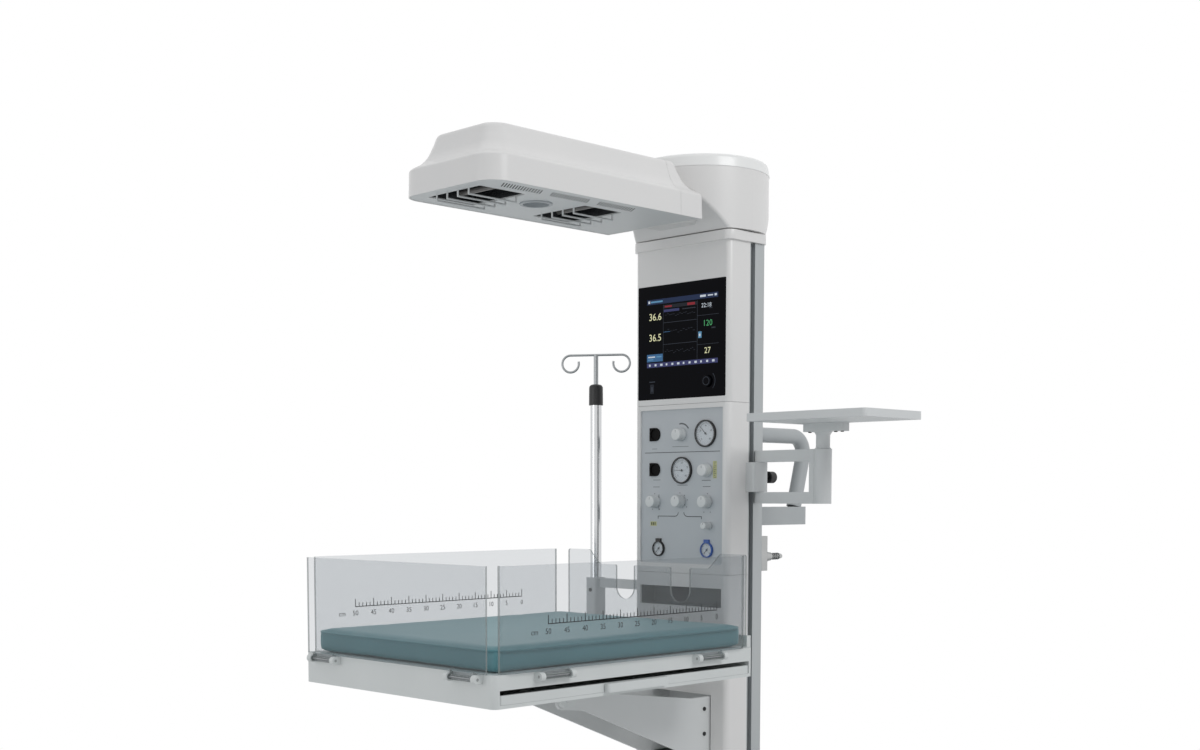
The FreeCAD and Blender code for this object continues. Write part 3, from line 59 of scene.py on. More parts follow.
cameraSettings = {"place": (2405.4, -2689.2, 1205.1), "turn": 45.478, "tilt": -4.341,
                  "lens": 44.564, "sensor": 36, "shiftX": 0.01284, "shiftY": 0.19525,
                  "far": 60}
turn, tilt = math.radians(cameraSettings["turn"]), math.radians(cameraSettings["tilt"])
looking = Vector((-math.sin(turn) * math.cos(tilt), math.cos(turn) * math.cos(tilt),
                  math.sin(tilt)))
bpy.ops.object.camera_add(location=at(*cameraSettings["place"]))
camera = bpy.context.object
camera.rotation_euler = looking.to_track_quat("-Z", "Y").to_euler()
camera.data.lens = cameraSettings["lens"]
camera.data.sensor_width = cameraSettings["sensor"]
camera.data.sensor_fit = "HORIZONTAL"
camera.data.shift_x = cameraSettings["shiftX"]
camera.data.shift_y = cameraSettings["shiftY"]
camera.data.clip_end = cameraSettings["far"]
bpy.context.scene.camera = camera
print("camera placed")


def hexColour(text):
    channels = [int(text[i:i + 2], 16) / 255 for i in (1, 3, 5)]
    linear = [c / 12.92 if c <= 0.04045 else ((c + 0.055) / 1.055) ** 2.4 for c in channels]
    return (*linear, 1)


def addNode(tree, kind, links=None, **settings):
    node = tree.nodes.new(kind)
    for name, value in settings.items():
        setattr(node, name, value)
    for name, value in (links or {}).items():
        if isinstance(value, bpy.types.NodeSocket):
            tree.links.new(value, node.inputs[name])
        else:
            node.inputs[name].default_value = value
    return node


def startMaterial(name):
    material = bpy.data.materials.new(name)
    material.use_nodes = True
    material.node_tree.nodes.clear()
    return material, material.node_tree


def endMaterial(tree, shader):
    addNode(tree, "ShaderNodeOutputMaterial", {"Surface": shader.outputs[0]})


glossSpread = 0.04  # how far the roughness strays either way


def grainedMaterial(name, look):
    # two close colours in soft patches, a fine grain in the relief, uneven gloss
    material, tree = startMaterial(name)
    coords = addNode(tree, "ShaderNodeTexCoord").outputs["Object"]
    stretch = look.get("stretch", (1, 1, 1))
    mapped = addNode(tree, "ShaderNodeMapping", {"Vector": coords, "Scale": stretch})
    patches = addNode(tree, "ShaderNodeTexNoise", {
        "Vector": mapped.outputs[0], "Scale": 1000 / look["patch"], "Detail": 4.0})
    grain = addNode(tree, "ShaderNodeTexNoise", {
        "Vector": mapped.outputs[0], "Scale": 1000 / look["grain"], "Detail": 2.0})
    tint = addNode(tree, "ShaderNodeMix", {
        0: patches.outputs["Fac"], 6: hexColour(look["colour"]), 7: hexColour(look["second"])},
        data_type="RGBA")
    gloss = addNode(tree, "ShaderNodeMapRange", {
        "Value": grain.outputs["Fac"], "To Min": look["rough"] - glossSpread,
        "To Max": look["rough"] + glossSpread})
    relief = addNode(tree, "ShaderNodeBump", {
        "Height": grain.outputs["Fac"], "Strength": look["bump"],
        "Distance": look.get("depth", 0.1) * millimetre})
    shader = addNode(tree, "ShaderNodeBsdfPrincipled", {
        "Base Color": tint.outputs[2], "Roughness": gloss.outputs[0],
        "Normal": relief.outputs[0], "Metallic": look.get("metal", 0.0),
        "Coat Weight": look.get("coat", 0.0), "Coat Roughness": look.get("coatRough", 0.1),
        "Specular IOR Level": look.get("specular", 0.5), "Alpha": look.get("alpha", 1.0)})
    if "glow" in look:
        shader.inputs["Emission Color"].default_value = hexColour(look["colour"])
        shader.inputs["Emission Strength"].default_value = look["glow"]
    endMaterial(tree, shader)
    return material


looks = {
    # sprayed ABS covers: even off-white with a faint orange peel
    "paintedAbs": {"colour": "#EAE8E6", "second": "#E5E4E3", "patch": 160, "grain": 1.6,
                   "rough": 0.36, "bump": 0.12, "depth": 0.05, "coat": 0.25,
                   "coatRough": 0.18},
    # the cover ABS in a lighter copy for the drum cap: painted light on its top band
    "litCapAbs": {"colour": "#F6F6F4", "second": "#F1F1F0", "patch": 160, "grain": 1.6,
                  "rough": 0.34, "bump": 0.12, "depth": 0.05, "coat": 0.35,
                  "coatRough": 0.15},
    # powder-coated steel and aluminium: a fine sandy relief
    "powderCoat": {"colour": "#DCDEDE", "second": "#D6D8D8", "patch": 120, "grain": 0.9,
                   "rough": 0.48, "bump": 0.25, "depth": 0.06},
    # extruded aluminium, anodised: fine lines along its length
    "anodisedAluminium": {"colour": "#B6BABB", "second": "#AFB3B5", "patch": 60, "grain": 1.2,
                          "stretch": (1, 1, 0.02), "rough": 0.42, "metal": 0.55, "bump": 0.2},
    # screen-printed laminate of the gas panel, matt grey
    "greyLaminate": {"colour": "#CBCFD2", "second": "#C4C8CC", "patch": 90, "grain": 0.7,
                     "rough": 0.58, "bump": 0.1},
    "chromedSteel": {"colour": "#D4D5D6", "second": "#CACCCE", "patch": 40, "grain": 6,
                     "stretch": (1, 1, 0.1), "rough": 0.14, "metal": 1.0, "bump": 0.02},
    "brushedSteel": {"colour": "#A3A6A8", "second": "#95989A", "patch": 40, "grain": 2,
                     "stretch": (1, 1, 0.1), "rough": 0.3, "metal": 1.0, "bump": 0.05},
    "greyCoat": {"colour": "#B7BBBC", "second": "#B0B4B6", "patch": 120, "grain": 0.9,
                 "rough": 0.45, "bump": 0.2, "depth": 0.06},
    "stainlessSteel": {"colour": "#B4B5B5", "second": "#A4A6A6", "patch": 30, "grain": 0.6,
                       "stretch": (1, 0.05, 1), "rough": 0.3, "metal": 1.0, "bump": 0.15},
    "blackNylon": {"colour": "#101113", "second": "#17181A", "patch": 20, "grain": 0.5,
                   "rough": 0.45, "bump": 0.3},
    "whiteNylon": {"colour": "#E9EAEA", "second": "#DFE1E1", "patch": 12, "grain": 0.5,
                   "rough": 0.4, "bump": 0.15},
    "mouldedTray": {"colour": "#DDE0DF", "second": "#D5D9D8", "patch": 90, "grain": 0.8,
                    "rough": 0.42, "bump": 0.2},
    "frostedNylon": {"colour": "#D3D6D7", "second": "#C9CDCE", "patch": 12, "grain": 0.5,
                     "rough": 0.45, "bump": 0.15},
    "portPlastic": {"colour": "#020203", "second": "#040405", "patch": 12, "grain": 0.6,
                    "rough": 0.6, "bump": 0.2, "specular": 0.1},
    "needleLacquer": {"colour": "#202226", "second": "#2A2D32", "patch": 5, "grain": 0.4,
                      "rough": 0.35, "bump": 0.05},
    "dialEnamel": {"colour": "#E3E6EA", "second": "#D9DDE2", "patch": 10, "grain": 0.6,
                   "rough": 0.5, "bump": 0.05},
    "printedInk": {"colour": "#15171A", "second": "#202327", "patch": 6, "grain": 0.4,
                   "rough": 0.55, "bump": 0.05},
    "greyInk": {"colour": "#5E6366", "second": "#696E71", "patch": 6, "grain": 0.4,
                "rough": 0.55, "bump": 0.05},
    "yellowInk": {"colour": "#C9C99A", "second": "#BDBE86", "patch": 6, "grain": 0.4,
                  "rough": 0.5, "bump": 0.05},
    # dark grey for the storage bay: painted shade
    "bayShadeGrey": {"colour": "#5B5F64", "second": "#4F5358", "patch": 70, "grain": 1.0,
                  "rough": 0.6, "bump": 0.3},
    # near black behind the heater's vents: painted shade
    "ventShadeBlack": {"colour": "#17191B", "second": "#222527", "patch": 30, "grain": 1.2,
                    "rough": 0.9, "bump": 0.4},
    # grey for the depth of the mast's T-slots: painted shade
    "slotShadeGrey": {"colour": "#8A8E90", "second": "#7F8385", "patch": 40, "grain": 0.8,
                   "stretch": (1, 1, 0.05), "rough": 0.6, "bump": 0.3},
    "wheelRubber": {"colour": "#55585A", "second": "#4B4E50", "patch": 20, "grain": 0.9,
                    "rough": 0.62, "bump": 0.4},
    "reflectorSteel": {"colour": "#4A4D50", "second": "#606366", "patch": 25, "grain": 0.8,
                       "stretch": (0.05, 1, 1), "rough": 0.28, "metal": 0.9, "bump": 0.2},
    "quartzTube": {"colour": "#8C8986", "second": "#6F6C6A", "patch": 10, "grain": 1.0,
                   "rough": 0.35, "bump": 0.2},
    "clearLens": {"colour": "#F4F8FA", "second": "#EEF3F6", "patch": 20, "grain": 3,
                  "rough": 0.05, "bump": 0.0, "alpha": 0.12},
    "displayGlass": {"colour": "#020308", "second": "#03040B", "patch": 90, "grain": 6,
                     "rough": 0.1, "bump": 0.0, "specular": 0.05},
}
screenColours = {"screenWhite": "#C9D0D8", "screenYellow": "#E4E2B4", "screenGreen": "#4FA36A",
                 "screenBlue": "#3F678F", "screenRed": "#8A2B33", "screenGrey": "#30343C",
                 "screenNavy": "#222E4A", "screenViolet": "#3C3F66", "screenSky": "#5E8FB0",
                 "screenDim": "#1E2128"}
for name, colour in screenColours.items():  # back-lit print: a little light of its own
    looks[name] = {"colour": colour, "second": colour, "patch": 9, "grain": 0.8, "rough": 0.3,
                   "bump": 0.0, "specular": 0.1, "glow": 0.35}
materials = {name: grainedMaterial(name, look) for name, look in looks.items()}


def acrylicMaterial(name, look):
    # cast acrylic sheet: almost clear on its faces, greyer where an edge is seen
    material, tree = startMaterial(name)
    coords = addNode(tree, "ShaderNodeTexCoord")
    smear = addNode(tree, "ShaderNodeTexNoise", {
        "Vector": coords.outputs["Object"], "Scale": 1000 / look["smear"], "Detail": 3.0})
    gloss = addNode(tree, "ShaderNodeMapRange", {
        "Value": smear.outputs["Fac"], "To Min": look["rough"], "To Max": look["rough"] * 2})
    normal = addNode(tree, "ShaderNodeSeparateXYZ", {"Vector": coords.outputs["Normal"]})
    if look["bent"]:  # the ends turn inwards: level edges, and the last bit of each end
        upright = addNode(tree, "ShaderNodeMath", {0: normal.outputs["Z"]},
                          operation="ABSOLUTE")
        level = addNode(tree, "ShaderNodeMath", {0: upright.outputs[0], 1: look["level"]},
                        operation="GREATER_THAN")
        spot = addNode(tree, "ShaderNodeSeparateXYZ", {"Vector": coords.outputs["Object"]})
        reach = addNode(tree, "ShaderNodeMath", {
            0: spot.outputs["Y"], 1: at(0, look["middle"], 0).y}, operation="SUBTRACT")
        reach = addNode(tree, "ShaderNodeMath", {0: reach.outputs[0]}, operation="ABSOLUTE")
        last = addNode(tree, "ShaderNodeMath", {
            0: reach.outputs[0], 1: look["endReach"] * millimetre}, operation="GREATER_THAN")
        edge = addNode(tree, "ShaderNodeMath", {0: level.outputs[0], 1: last.outputs[0]},
                       operation="MAXIMUM")
    else:
        flat = addNode(tree, "ShaderNodeMath", {0: normal.outputs["Y"]},
                       operation="ABSOLUTE")
        edge = addNode(tree, "ShaderNodeMath", {0: flat.outputs[0], 1: look["flat"]},
                       operation="LESS_THAN")
    tint = addNode(tree, "ShaderNodeMix", {
        0: edge.outputs[0], 6: hexColour(look["colour"]), 7: hexColour(look["edge"])},
        data_type="RGBA")
    cover = addNode(tree, "ShaderNodeMapRange", {
        "Value": edge.outputs[0], "To Min": look["cover"], "To Max": look["edgeCover"]})
    clear = addNode(tree, "ShaderNodeBsdfTransparent", {"Color": hexColour(look["through"])})
    skin = addNode(tree, "ShaderNodeBsdfPrincipled", {
        "Base Color": tint.outputs[2], "Roughness": gloss.outputs[0],
        "Specular IOR Level": 0.5})
    shader = addNode(tree, "ShaderNodeMixShader", {
        0: cover.outputs[0], 1: clear.outputs[0], 2: skin.outputs[0]})
    endMaterial(tree, shader)
    return material


# middle: the side sheets' middle along the bed; endReach: from there to the bent ends
acrylicLook = {"colour": "#DADCDB", "edge": "#8F9694", "through": "#F2F3F4", "cover": 0.06,
               "edgeCover": 0.6, "smear": 120, "rough": 0.04, "level": 0.5, "flat": 0.6,
               "middle": -487.5, "endReach": 359.7}
for name, bent in (("acrylicSide", True), ("acrylicEnd", False)):
    materials[name] = acrylicMaterial(name, {**acrylicLook, "bent": bent})


def vinylMaterial(name, look):
    # coated mattress cloth: leather-like pores over a slow variation in tone
    material, tree = startMaterial(name)
    coords = addNode(tree, "ShaderNodeTexCoord").outputs["Object"]
    tone = addNode(tree, "ShaderNodeTexNoise", {
        "Vector": coords, "Scale": 1000 / look["patch"], "Detail": 3.0})
    pores = addNode(tree, "ShaderNodeTexVoronoi", {
        "Vector": coords, "Scale": 1000 / look["pore"]}, feature="SMOOTH_F1")
    tint = addNode(tree, "ShaderNodeMix", {
        0: tone.outputs["Fac"], 6: hexColour(look["colour"]), 7: hexColour(look["second"])},
        data_type="RGBA")
    relief = addNode(tree, "ShaderNodeBump", {
        "Height": pores.outputs["Distance"], "Strength": look["bump"],
        "Distance": look["depth"] * millimetre})
    gloss = addNode(tree, "ShaderNodeMapRange", {
        "Value": tone.outputs["Fac"], "To Min": look["glossiest"], "To Max": look["dullest"]})
    shader = addNode(tree, "ShaderNodeBsdfPrincipled", {
        "Base Color": tint.outputs[2], "Roughness": gloss.outputs[0],
        "Normal": relief.outputs[0], "Sheen Weight": look["sheen"]})
    endMaterial(tree, shader)
    return material


materials["coatedCloth"] = vinylMaterial("coatedCloth", {
    "colour": "#5F949B", "second": "#568A92", "patch": 140, "pore": 2.2, "bump": 0.3,
    "depth": 0.15, "glossiest": 0.42, "dullest": 0.54, "sheen": 0.2})


def zonedMaterial(name, look, zone):
    # one moulded piece in two colours, told apart by a test on its own position; on the lamp
    # the second colour is painted shade
    material, tree = startMaterial(name)
    coords = addNode(tree, "ShaderNodeTexCoord").outputs["Object"]
    grain = addNode(tree, "ShaderNodeTexNoise", {
        "Vector": coords, "Scale": 1000 / look["grain"], "Detail": 2.0})
    tint = addNode(tree, "ShaderNodeMix", {
        0: zone(tree, coords), 6: hexColour(look["colour"]), 7: hexColour(look["second"])},
        data_type="RGBA")
    gloss = addNode(tree, "ShaderNodeMapRange", {
        "Value": grain.outputs["Fac"], "To Min": look["rough"] - look["spread"],
        "To Max": look["rough"] + look["spread"]})
    relief = addNode(tree, "ShaderNodeBump", {
        "Height": grain.outputs["Fac"], "Strength": look["bump"],
        "Distance": look["depth"] * millimetre})
    shader = addNode(tree, "ShaderNodeBsdfPrincipled", {
        "Base Color": tint.outputs[2], "Roughness": gloss.outputs[0],
        "Normal": relief.outputs[0], "Coat Weight": look.get("coat", 0.0)})
    endMaterial(tree, shader)
    return material


airDialArea = {"left": 40, "top": 1150}
lampShadeFade = {"dark": 9, "pale": 24}  # radii of the painted shade: dark in the lamp's middle, pale at its rim


def airDialZone(tree, coords):
    # true at the lower right dial
    corner = at(airDialArea["left"], 0, airDialArea["top"])
    spot = addNode(tree, "ShaderNodeSeparateXYZ", {"Vector": coords})
    right = addNode(tree, "ShaderNodeMath", {0: spot.outputs["X"], 1: corner.x},
                    operation="GREATER_THAN")
    below = addNode(tree, "ShaderNodeMath", {0: spot.outputs["Z"], 1: corner.z},
                    operation="LESS_THAN")
    both = addNode(tree, "ShaderNodeMath", {0: right.outputs[0], 1: below.outputs[0]},
                   operation="MULTIPLY")
    return both.outputs[0]


def lampShadeZone(tree, coords):
    # painted shade: dark towards the middle of the lamp, where the bulb sits back
    low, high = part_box("exam_lamp")
    middle = Vector(((low.x + high.x) / 2, (low.y + high.y) / 2, 0))
    level = addNode(tree, "ShaderNodeVectorMath", {0: coords, 1: Vector((1, 1, 0))},
                    operation="MULTIPLY")
    reach = addNode(tree, "ShaderNodeVectorMath", {0: level.outputs[0], 1: middle},
                    operation="DISTANCE")
    fade = addNode(tree, "ShaderNodeMapRange", {
        "Value": reach.outputs["Value"], "From Min": lampShadeFade["dark"] * millimetre,
        "From Max": lampShadeFade["pale"] * millimetre, "To Min": 1.0, "To Max": 0.0})
    return fade.outputs[0]


zonedLooks = {
    # black dial cases, the air dial's blue
    "gaugeBezel": ({"colour": "#08090A", "second": "#3A5FA8", "grain": 0.4, "rough": 0.32,
                    "spread": 0.05, "bump": 0.15, "depth": 0.05}, airDialZone),
    # the lamp in grey with a darker middle: painted shade of its recess
    "lampShadedGlass": ({"colour": "#AEB3B6", "second": "#6E7376", "grain": 0.6, "rough": 0.5,
                   "spread": 0.05, "bump": 0.15, "depth": 0.05, "coat": 0.1}, lampShadeZone),
}
for name, (look, zone) in zonedLooks.items():
    materials[name] = zonedMaterial(name, look, zone)
print("materials made")

nodeFinish = {
    "paintedAbs": ["lower_cover", "gas_cover", "monitor_cover", "collar_plate", "head_shell",
                   "head_rear_shell", "swivel_drum"],
    # painted light: the drum cap in the lighter copy of the cover ABS
    "litCapAbs": ["drum_cap"],
    "powderCoat": ["trolley_base", "shelf_top", "shelf_clamp", "iv_bracket", "bed_support",
                   "swivel_arm", "head_pan", "heater_guards", "shelf_fork", "shelf_post"],
    "anodisedAluminium": ["column_mast"],
    "greyLaminate": ["gas_panel"],
    "chromedSteel": ["iv_tube"],
    "brushedSteel": ["iv_rod"],
    "greyCoat": ["push_handles"],
    "stainlessSteel": ["gas_inlet", "hinge_pins"],
    "blackNylon": ["iv_cap", "clamp_knob"],
    "frostedNylon": ["suction_knob", "pressure_knob", "left_flow_knob", "mix_knob",
                     "right_flow_knob", "suction_tap"],
    "displayGlass": ["display_glass", "encoder_knob"],
    "portPlastic": ["gas_ports"],
    "gaugeBezel": ["gauge_cases"],
    "clearLens": ["gauge_lenses"],
    "needleLacquer": ["airway_needle", "vacuum_needle", "oxygen_needle", "air_needle"],
    "mouldedTray": ["bed_tray", "xray_tray"],
    "reflectorSteel": ["heater_reflectors"],
    "quartzTube": ["heater_elements"],
    "lampShadedGlass": ["exam_lamp"],
    "acrylicSide": ["panel_left", "panel_right"],
    "acrylicEnd": ["panel_foot", "panel_head"],
}
corners = ("front_left", "front_right", "rear_left", "rear_right")
nodeFinish["powderCoat"] += [corner + "_fork" for corner in corners]
nodeFinish["mouldedTray"] += [corner + "_wheel" for corner in corners]
for finish, members in nodeFinish.items():
    for member in members:
        nodes[member].data.materials.clear()
        nodes[member].data.materials.append(materials[finish])

# a small radius on the machined and moulded edges, in millimetres
edgeRounds = {"collar_plate": 1.5, "shelf_top": 2.0, "shelf_fork": 1.0, "shelf_clamp": 1.0,
              "column_mast": 0.8, "trolley_base": 3.0, "bed_tray": 1.5, "bed_support": 1.2,
              "gas_inlet": 0.6, "iv_bracket": 1.2, "xray_tray": 1.0, "shelf_post": 0.8,
              "gas_cover": 0.5, "monitor_cover": 0.5, "lower_cover": 0.5}
edgeAngle = 40  # degrees; flatter edges stay as they are
weldReach = 0.01 * millimetre
for name, radius in edgeRounds.items():
    weld = nodes[name].modifiers.new("weld", "WELD")
    weld.merge_threshold = weldReach
    bevel = nodes[name].modifiers.new("edge", "BEVEL")
    bevel.width = radius * millimetre
    bevel.segments = 3
    bevel.limit_method = "ANGLE"
    bevel.angle_limit = math.radians(edgeAngle)
print("CAD nodes finished")


def clearSelection():
    if bpy.context.mode != "OBJECT":
        bpy.ops.object.mode_set(mode="OBJECT")
    bpy.ops.object.select_all(action="DESELECT")


def chooseOnly(piece):
    clearSelection()
    piece.select_set(True)
    bpy.context.view_layer.objects.active = piece


def joinPieces(pieces):
    clearSelection()
    for piece in pieces:
        piece.select_set(True)
    bpy.context.view_layer.objects.active = pieces[0]
    if len(pieces) > 1:
        bpy.ops.object.join()
    return bpy.context.view_layer.objects.active


def applyModifier(piece, kind, **settings):
    chooseOnly(piece)
    modifier = piece.modifiers.new(kind.lower(), kind)
    for name, value in settings.items():
        setattr(modifier, name, value)
    bpy.ops.object.modifier_apply(modifier=modifier.name)


def finishPiece(piece, name, body, angle=35):
    # place in the mesh, smooth shading, and the body it rides on
    chooseOnly(piece)
    bpy.ops.object.transform_apply(location=True, rotation=True, scale=True)
    bpy.ops.object.shade_smooth_by_angle(angle=math.radians(angle))
    piece.name = name
    piece.data.name = name
    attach(piece, body)


def addBlock(low, high, material, edge=0.0):
    clearSelection()
    low, high = at(*low), at(*high)
    bpy.ops.mesh.primitive_cube_add(size=1, location=(low + high) / 2)
    block = bpy.context.object
    block.scale = high - low
    bpy.ops.object.transform_apply(location=True, rotation=True, scale=True)
    if edge:
        bpy.ops.object.mode_set(mode="EDIT")
        bpy.ops.mesh.select_all(action="SELECT")
        bpy.ops.mesh.bevel(offset=edge * millimetre, segments=2, affect="EDGES")
        bpy.ops.object.mode_set(mode="OBJECT")
    block.data.materials.append(materials[material])
    return block


turnTo = {"front": (math.pi / 2, 0, 0), "back": (-math.pi / 2, 0, 0),
          "down": (math.pi, 0, 0), "right": (0, math.pi / 2, 0)}


def addDisc(centre, direction, radius, height, material, edge=0.0, sides=48):
    # a bevelled round piece that stands on its centre and rises in a direction
    clearSelection()
    bpy.ops.mesh.primitive_cylinder_add(vertices=sides, radius=radius * millimetre,
                                        depth=height * millimetre,
                                        location=(0, 0, height * millimetre / 2))
    disc = bpy.context.object
    bpy.ops.object.transform_apply(location=True, rotation=True, scale=True)
    if edge:
        bpy.ops.object.mode_set(mode="EDIT")
        mesh = bmesh.from_edit_mesh(disc.data)
        nearTop = height * millimetre * 0.9
        for part in mesh.edges:
            part.select = all(v.co.z > nearTop for v in part.verts)
        mesh.select_flush(False)
        bmesh.update_edit_mesh(disc.data)
        bpy.ops.mesh.bevel(offset=edge * millimetre, segments=3, affect="EDGES")
        bpy.ops.object.mode_set(mode="OBJECT")
    disc.rotation_euler = turnTo[direction]
    disc.location = at(*centre)
    bpy.ops.object.transform_apply(location=True, rotation=True, scale=True)
    disc.data.materials.append(materials[material])
    return disc


def spinCopies(piece, count, degrees, centre):
    # copies of the whole piece round an axis that runs from front to back
    chooseOnly(piece)
    bpy.ops.object.mode_set(mode="EDIT")
    bpy.ops.mesh.select_all(action="SELECT")
    bpy.ops.mesh.spin(steps=count, dupli=True, angle=math.radians(degrees),
                      center=at(*centre), axis=(0, 1, 0))
    bpy.ops.object.mode_set(mode="OBJECT")
    return piece


capitalShare = 0.7  # height of a capital over the font's size


def addWords(words, centre, height, material, facing="front", depth=0.06):
    clearSelection()
    turns = {"front": (math.pi / 2, 0, 0), "right": (math.pi / 2, 0, math.pi / 2)}
    bpy.ops.object.text_add(location=at(*centre), rotation=turns[facing])
    text = bpy.context.object
    text.data.body = words
    text.data.size = height * millimetre / capitalShare
    text.data.align_x, text.data.align_y = "CENTER", "CENTER"
    text.data.extrude = depth * millimetre
    text.data.resolution_u = 3
    bpy.ops.object.convert(target="MESH")
    text = bpy.context.object
    bpy.ops.object.transform_apply(location=True, rotation=True, scale=True)
    text.data.materials.append(materials[material])
    return text


def addArc(centre, radius, width, start, stop, material, depth, sides=18):
    # a flat curved mark on a front face, from a swept edge; angles anticlockwise from right
    clearSelection()
    x, y, z = centre
    first = math.radians(start)
    low, high = radius - width / 2, radius + width / 2
    section = [(x + r * math.cos(first), y - d, z + r * math.sin(first))
               for r, d in ((low, 0), (high, 0), (high, depth), (low, depth))]
    mesh = bpy.data.meshes.new("arc")
    mesh.from_pydata([at(*point) for point in section], [], [(0, 1, 2, 3)])
    arc = bpy.data.objects.new("arc", mesh)
    bpy.context.scene.collection.objects.link(arc)
    chooseOnly(arc)
    bpy.ops.object.mode_set(mode="EDIT")
    bpy.ops.mesh.select_all(action="SELECT")
    bpy.ops.mesh.spin(steps=sides, angle=math.radians(stop - start), center=at(*centre),
                      axis=(0, 1, 0))
    bpy.ops.mesh.select_all(action="SELECT")
    bpy.ops.mesh.normals_make_consistent(inside=False)
    bpy.ops.object.mode_set(mode="OBJECT")
    arc.data.materials.append(materials[material])
    return arc


ruler = {"start": -734, "step": 10, "count": 51, "numberStep": 50, "numberCount": 11,
         "base": 960, "thick": 1.9, "minor": 9, "major": 17, "proud": 0.15,
         "numberHeight": 11, "numberProud": 0.08, "numberDrop": 15, "unitGap": 36}
# the side of each sheet that carries its scale
rulerFaces = {"rulerRight": (317.55, "right_panel"), "rulerLeft": (-312.45, "left_panel")}


def addRuler(name, face, body):
    # printed scale on a side sheet: baseline, 10 mm ticks, a number each 50 mm
    y, z, half = ruler["start"], ruler["base"], ruler["thick"] / 2
    front = face + ruler["proud"]
    length = ruler["step"] * (ruler["count"] - 1)
    parts = [addBlock((face, y - half, z - half), (front, y + length + half, z + half),
                      "printedInk")]
    for height, step, count in ((ruler["minor"], ruler["step"], ruler["count"]),
                                (ruler["major"], ruler["numberStep"], ruler["numberCount"])):
        tick = addBlock((face, y - half, z), (front, y + half, z + height), "printedInk")
        applyModifier(tick, "ARRAY", use_relative_offset=False, use_constant_offset=True,
                      constant_offset_displace=(0, step * millimetre, 0), count=count)
        parts.append(tick)
    words = [(str((length - ruler["numberStep"] * i) // 10), y + ruler["numberStep"] * i)
             for i in range(ruler["numberCount"])]  # centimetres
    words.append(("cm", y - ruler["unitGap"]))
    for word, along in words:
        spot = (face + ruler["numberProud"], along, z - ruler["numberDrop"])
        parts.append(addWords(word, spot, ruler["numberHeight"], "printedInk", "right"))
    finishPiece(joinPieces(parts), name, body)


for name, (face, body) in rulerFaces.items():
    addRuler(name, face, body)

mattress = {"inset": 4, "corner": 38, "edge": 6, "voxel": 7, "pressure": 3.0, "frames": 20,
            "cap": 6, "smooth": 3, "fill": 0.85, "piping": 2.6, "pipingDrop": 7,
            "pipingCorner": 39}


def addMattress():
    low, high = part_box("mattress")
    inset = mattress["inset"] * millimetre
    clearSelection()
    bpy.ops.mesh.primitive_cube_add(size=1, location=(low + high) / 2)
    pad = bpy.context.object
    pad.scale = high - low - Vector((inset, inset, inset)) * 2
    bpy.ops.object.transform_apply(location=True, rotation=True, scale=True)
    bpy.ops.object.mode_set(mode="EDIT")
    mesh = bmesh.from_edit_mesh(pad.data)
    for part in mesh.edges:  # the four upright ones
        part.select = abs((part.verts[0].co - part.verts[1].co).z) > inset
    bmesh.update_edit_mesh(pad.data)
    bpy.ops.mesh.bevel(offset=mattress["corner"] * millimetre, segments=8, affect="EDGES")
    bpy.ops.mesh.select_all(action="SELECT")
    bpy.ops.mesh.bevel(offset=mattress["edge"] * millimetre, segments=3, affect="EDGES")
    bpy.ops.object.mode_set(mode="OBJECT")
    applyModifier(pad, "REMESH", mode="VOXEL", voxel_size=mattress["voxel"] * millimetre)
    rest = [v.co.copy() for v in pad.data.vertices]
    chooseOnly(pad)
    cloth = pad.modifiers.new("cloth", "CLOTH")
    cloth.settings.use_pressure = True
    cloth.settings.uniform_pressure_force = mattress["pressure"]
    cloth.settings.effector_weights.gravity = 0
    for step in range(1, mattress["frames"] + 1):
        bpy.context.scene.frame_set(step)
    bpy.ops.object.modifier_apply(modifier=cloth.name)
    bpy.context.scene.frame_set(1)
    reach = mattress["cap"] * millimetre
    for vertex, before in zip(pad.data.vertices, rest):
        moved = vertex.co - before
        if moved.length > reach:
            moved *= reach / moved.length
        spot = before + moved
        spot.z = max(spot.z, low.z)  # flat where it lies on the tray
        vertex.co = Vector(map(min, map(max, spot, low), high))
    applyModifier(pad, "SMOOTH", factor=0.5, iterations=mattress["smooth"])
    pad.data.materials.append(materials["coatedCloth"])
    finishPiece(pad, "mattressPad", "bed", 60)
    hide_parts("mattress")

    # welded piping round the upper edge
    clearSelection()
    middle = (low + high) / 2
    level = high.z - mattress["pipingDrop"] * millimetre
    bpy.ops.mesh.primitive_plane_add(size=1, location=(middle.x, middle.y, level))
    cord = bpy.context.object
    cord.scale = (high.x - low.x - inset, high.y - low.y - inset, 1)
    bpy.ops.object.transform_apply(location=True, rotation=True, scale=True)
    bpy.ops.object.mode_set(mode="EDIT")
    bpy.ops.mesh.select_all(action="SELECT")
    bpy.ops.mesh.bevel(offset=mattress["pipingCorner"] * millimetre, segments=8,
                       affect="VERTICES")
    bpy.ops.mesh.delete(type="ONLY_FACE")
    bpy.ops.object.mode_set(mode="OBJECT")
    bpy.ops.object.convert(target="CURVE")
    cord = bpy.context.object
    cord.data.bevel_depth = mattress["piping"] * millimetre
    cord.data.bevel_resolution = 3
    bpy.ops.object.convert(target="MESH")
    cord = bpy.context.object
    cord.data.materials.append(materials["coatedCloth"])
    finishPiece(cord, "mattressPiping", "bed", 60)


addMattress()
print("bed dressed")

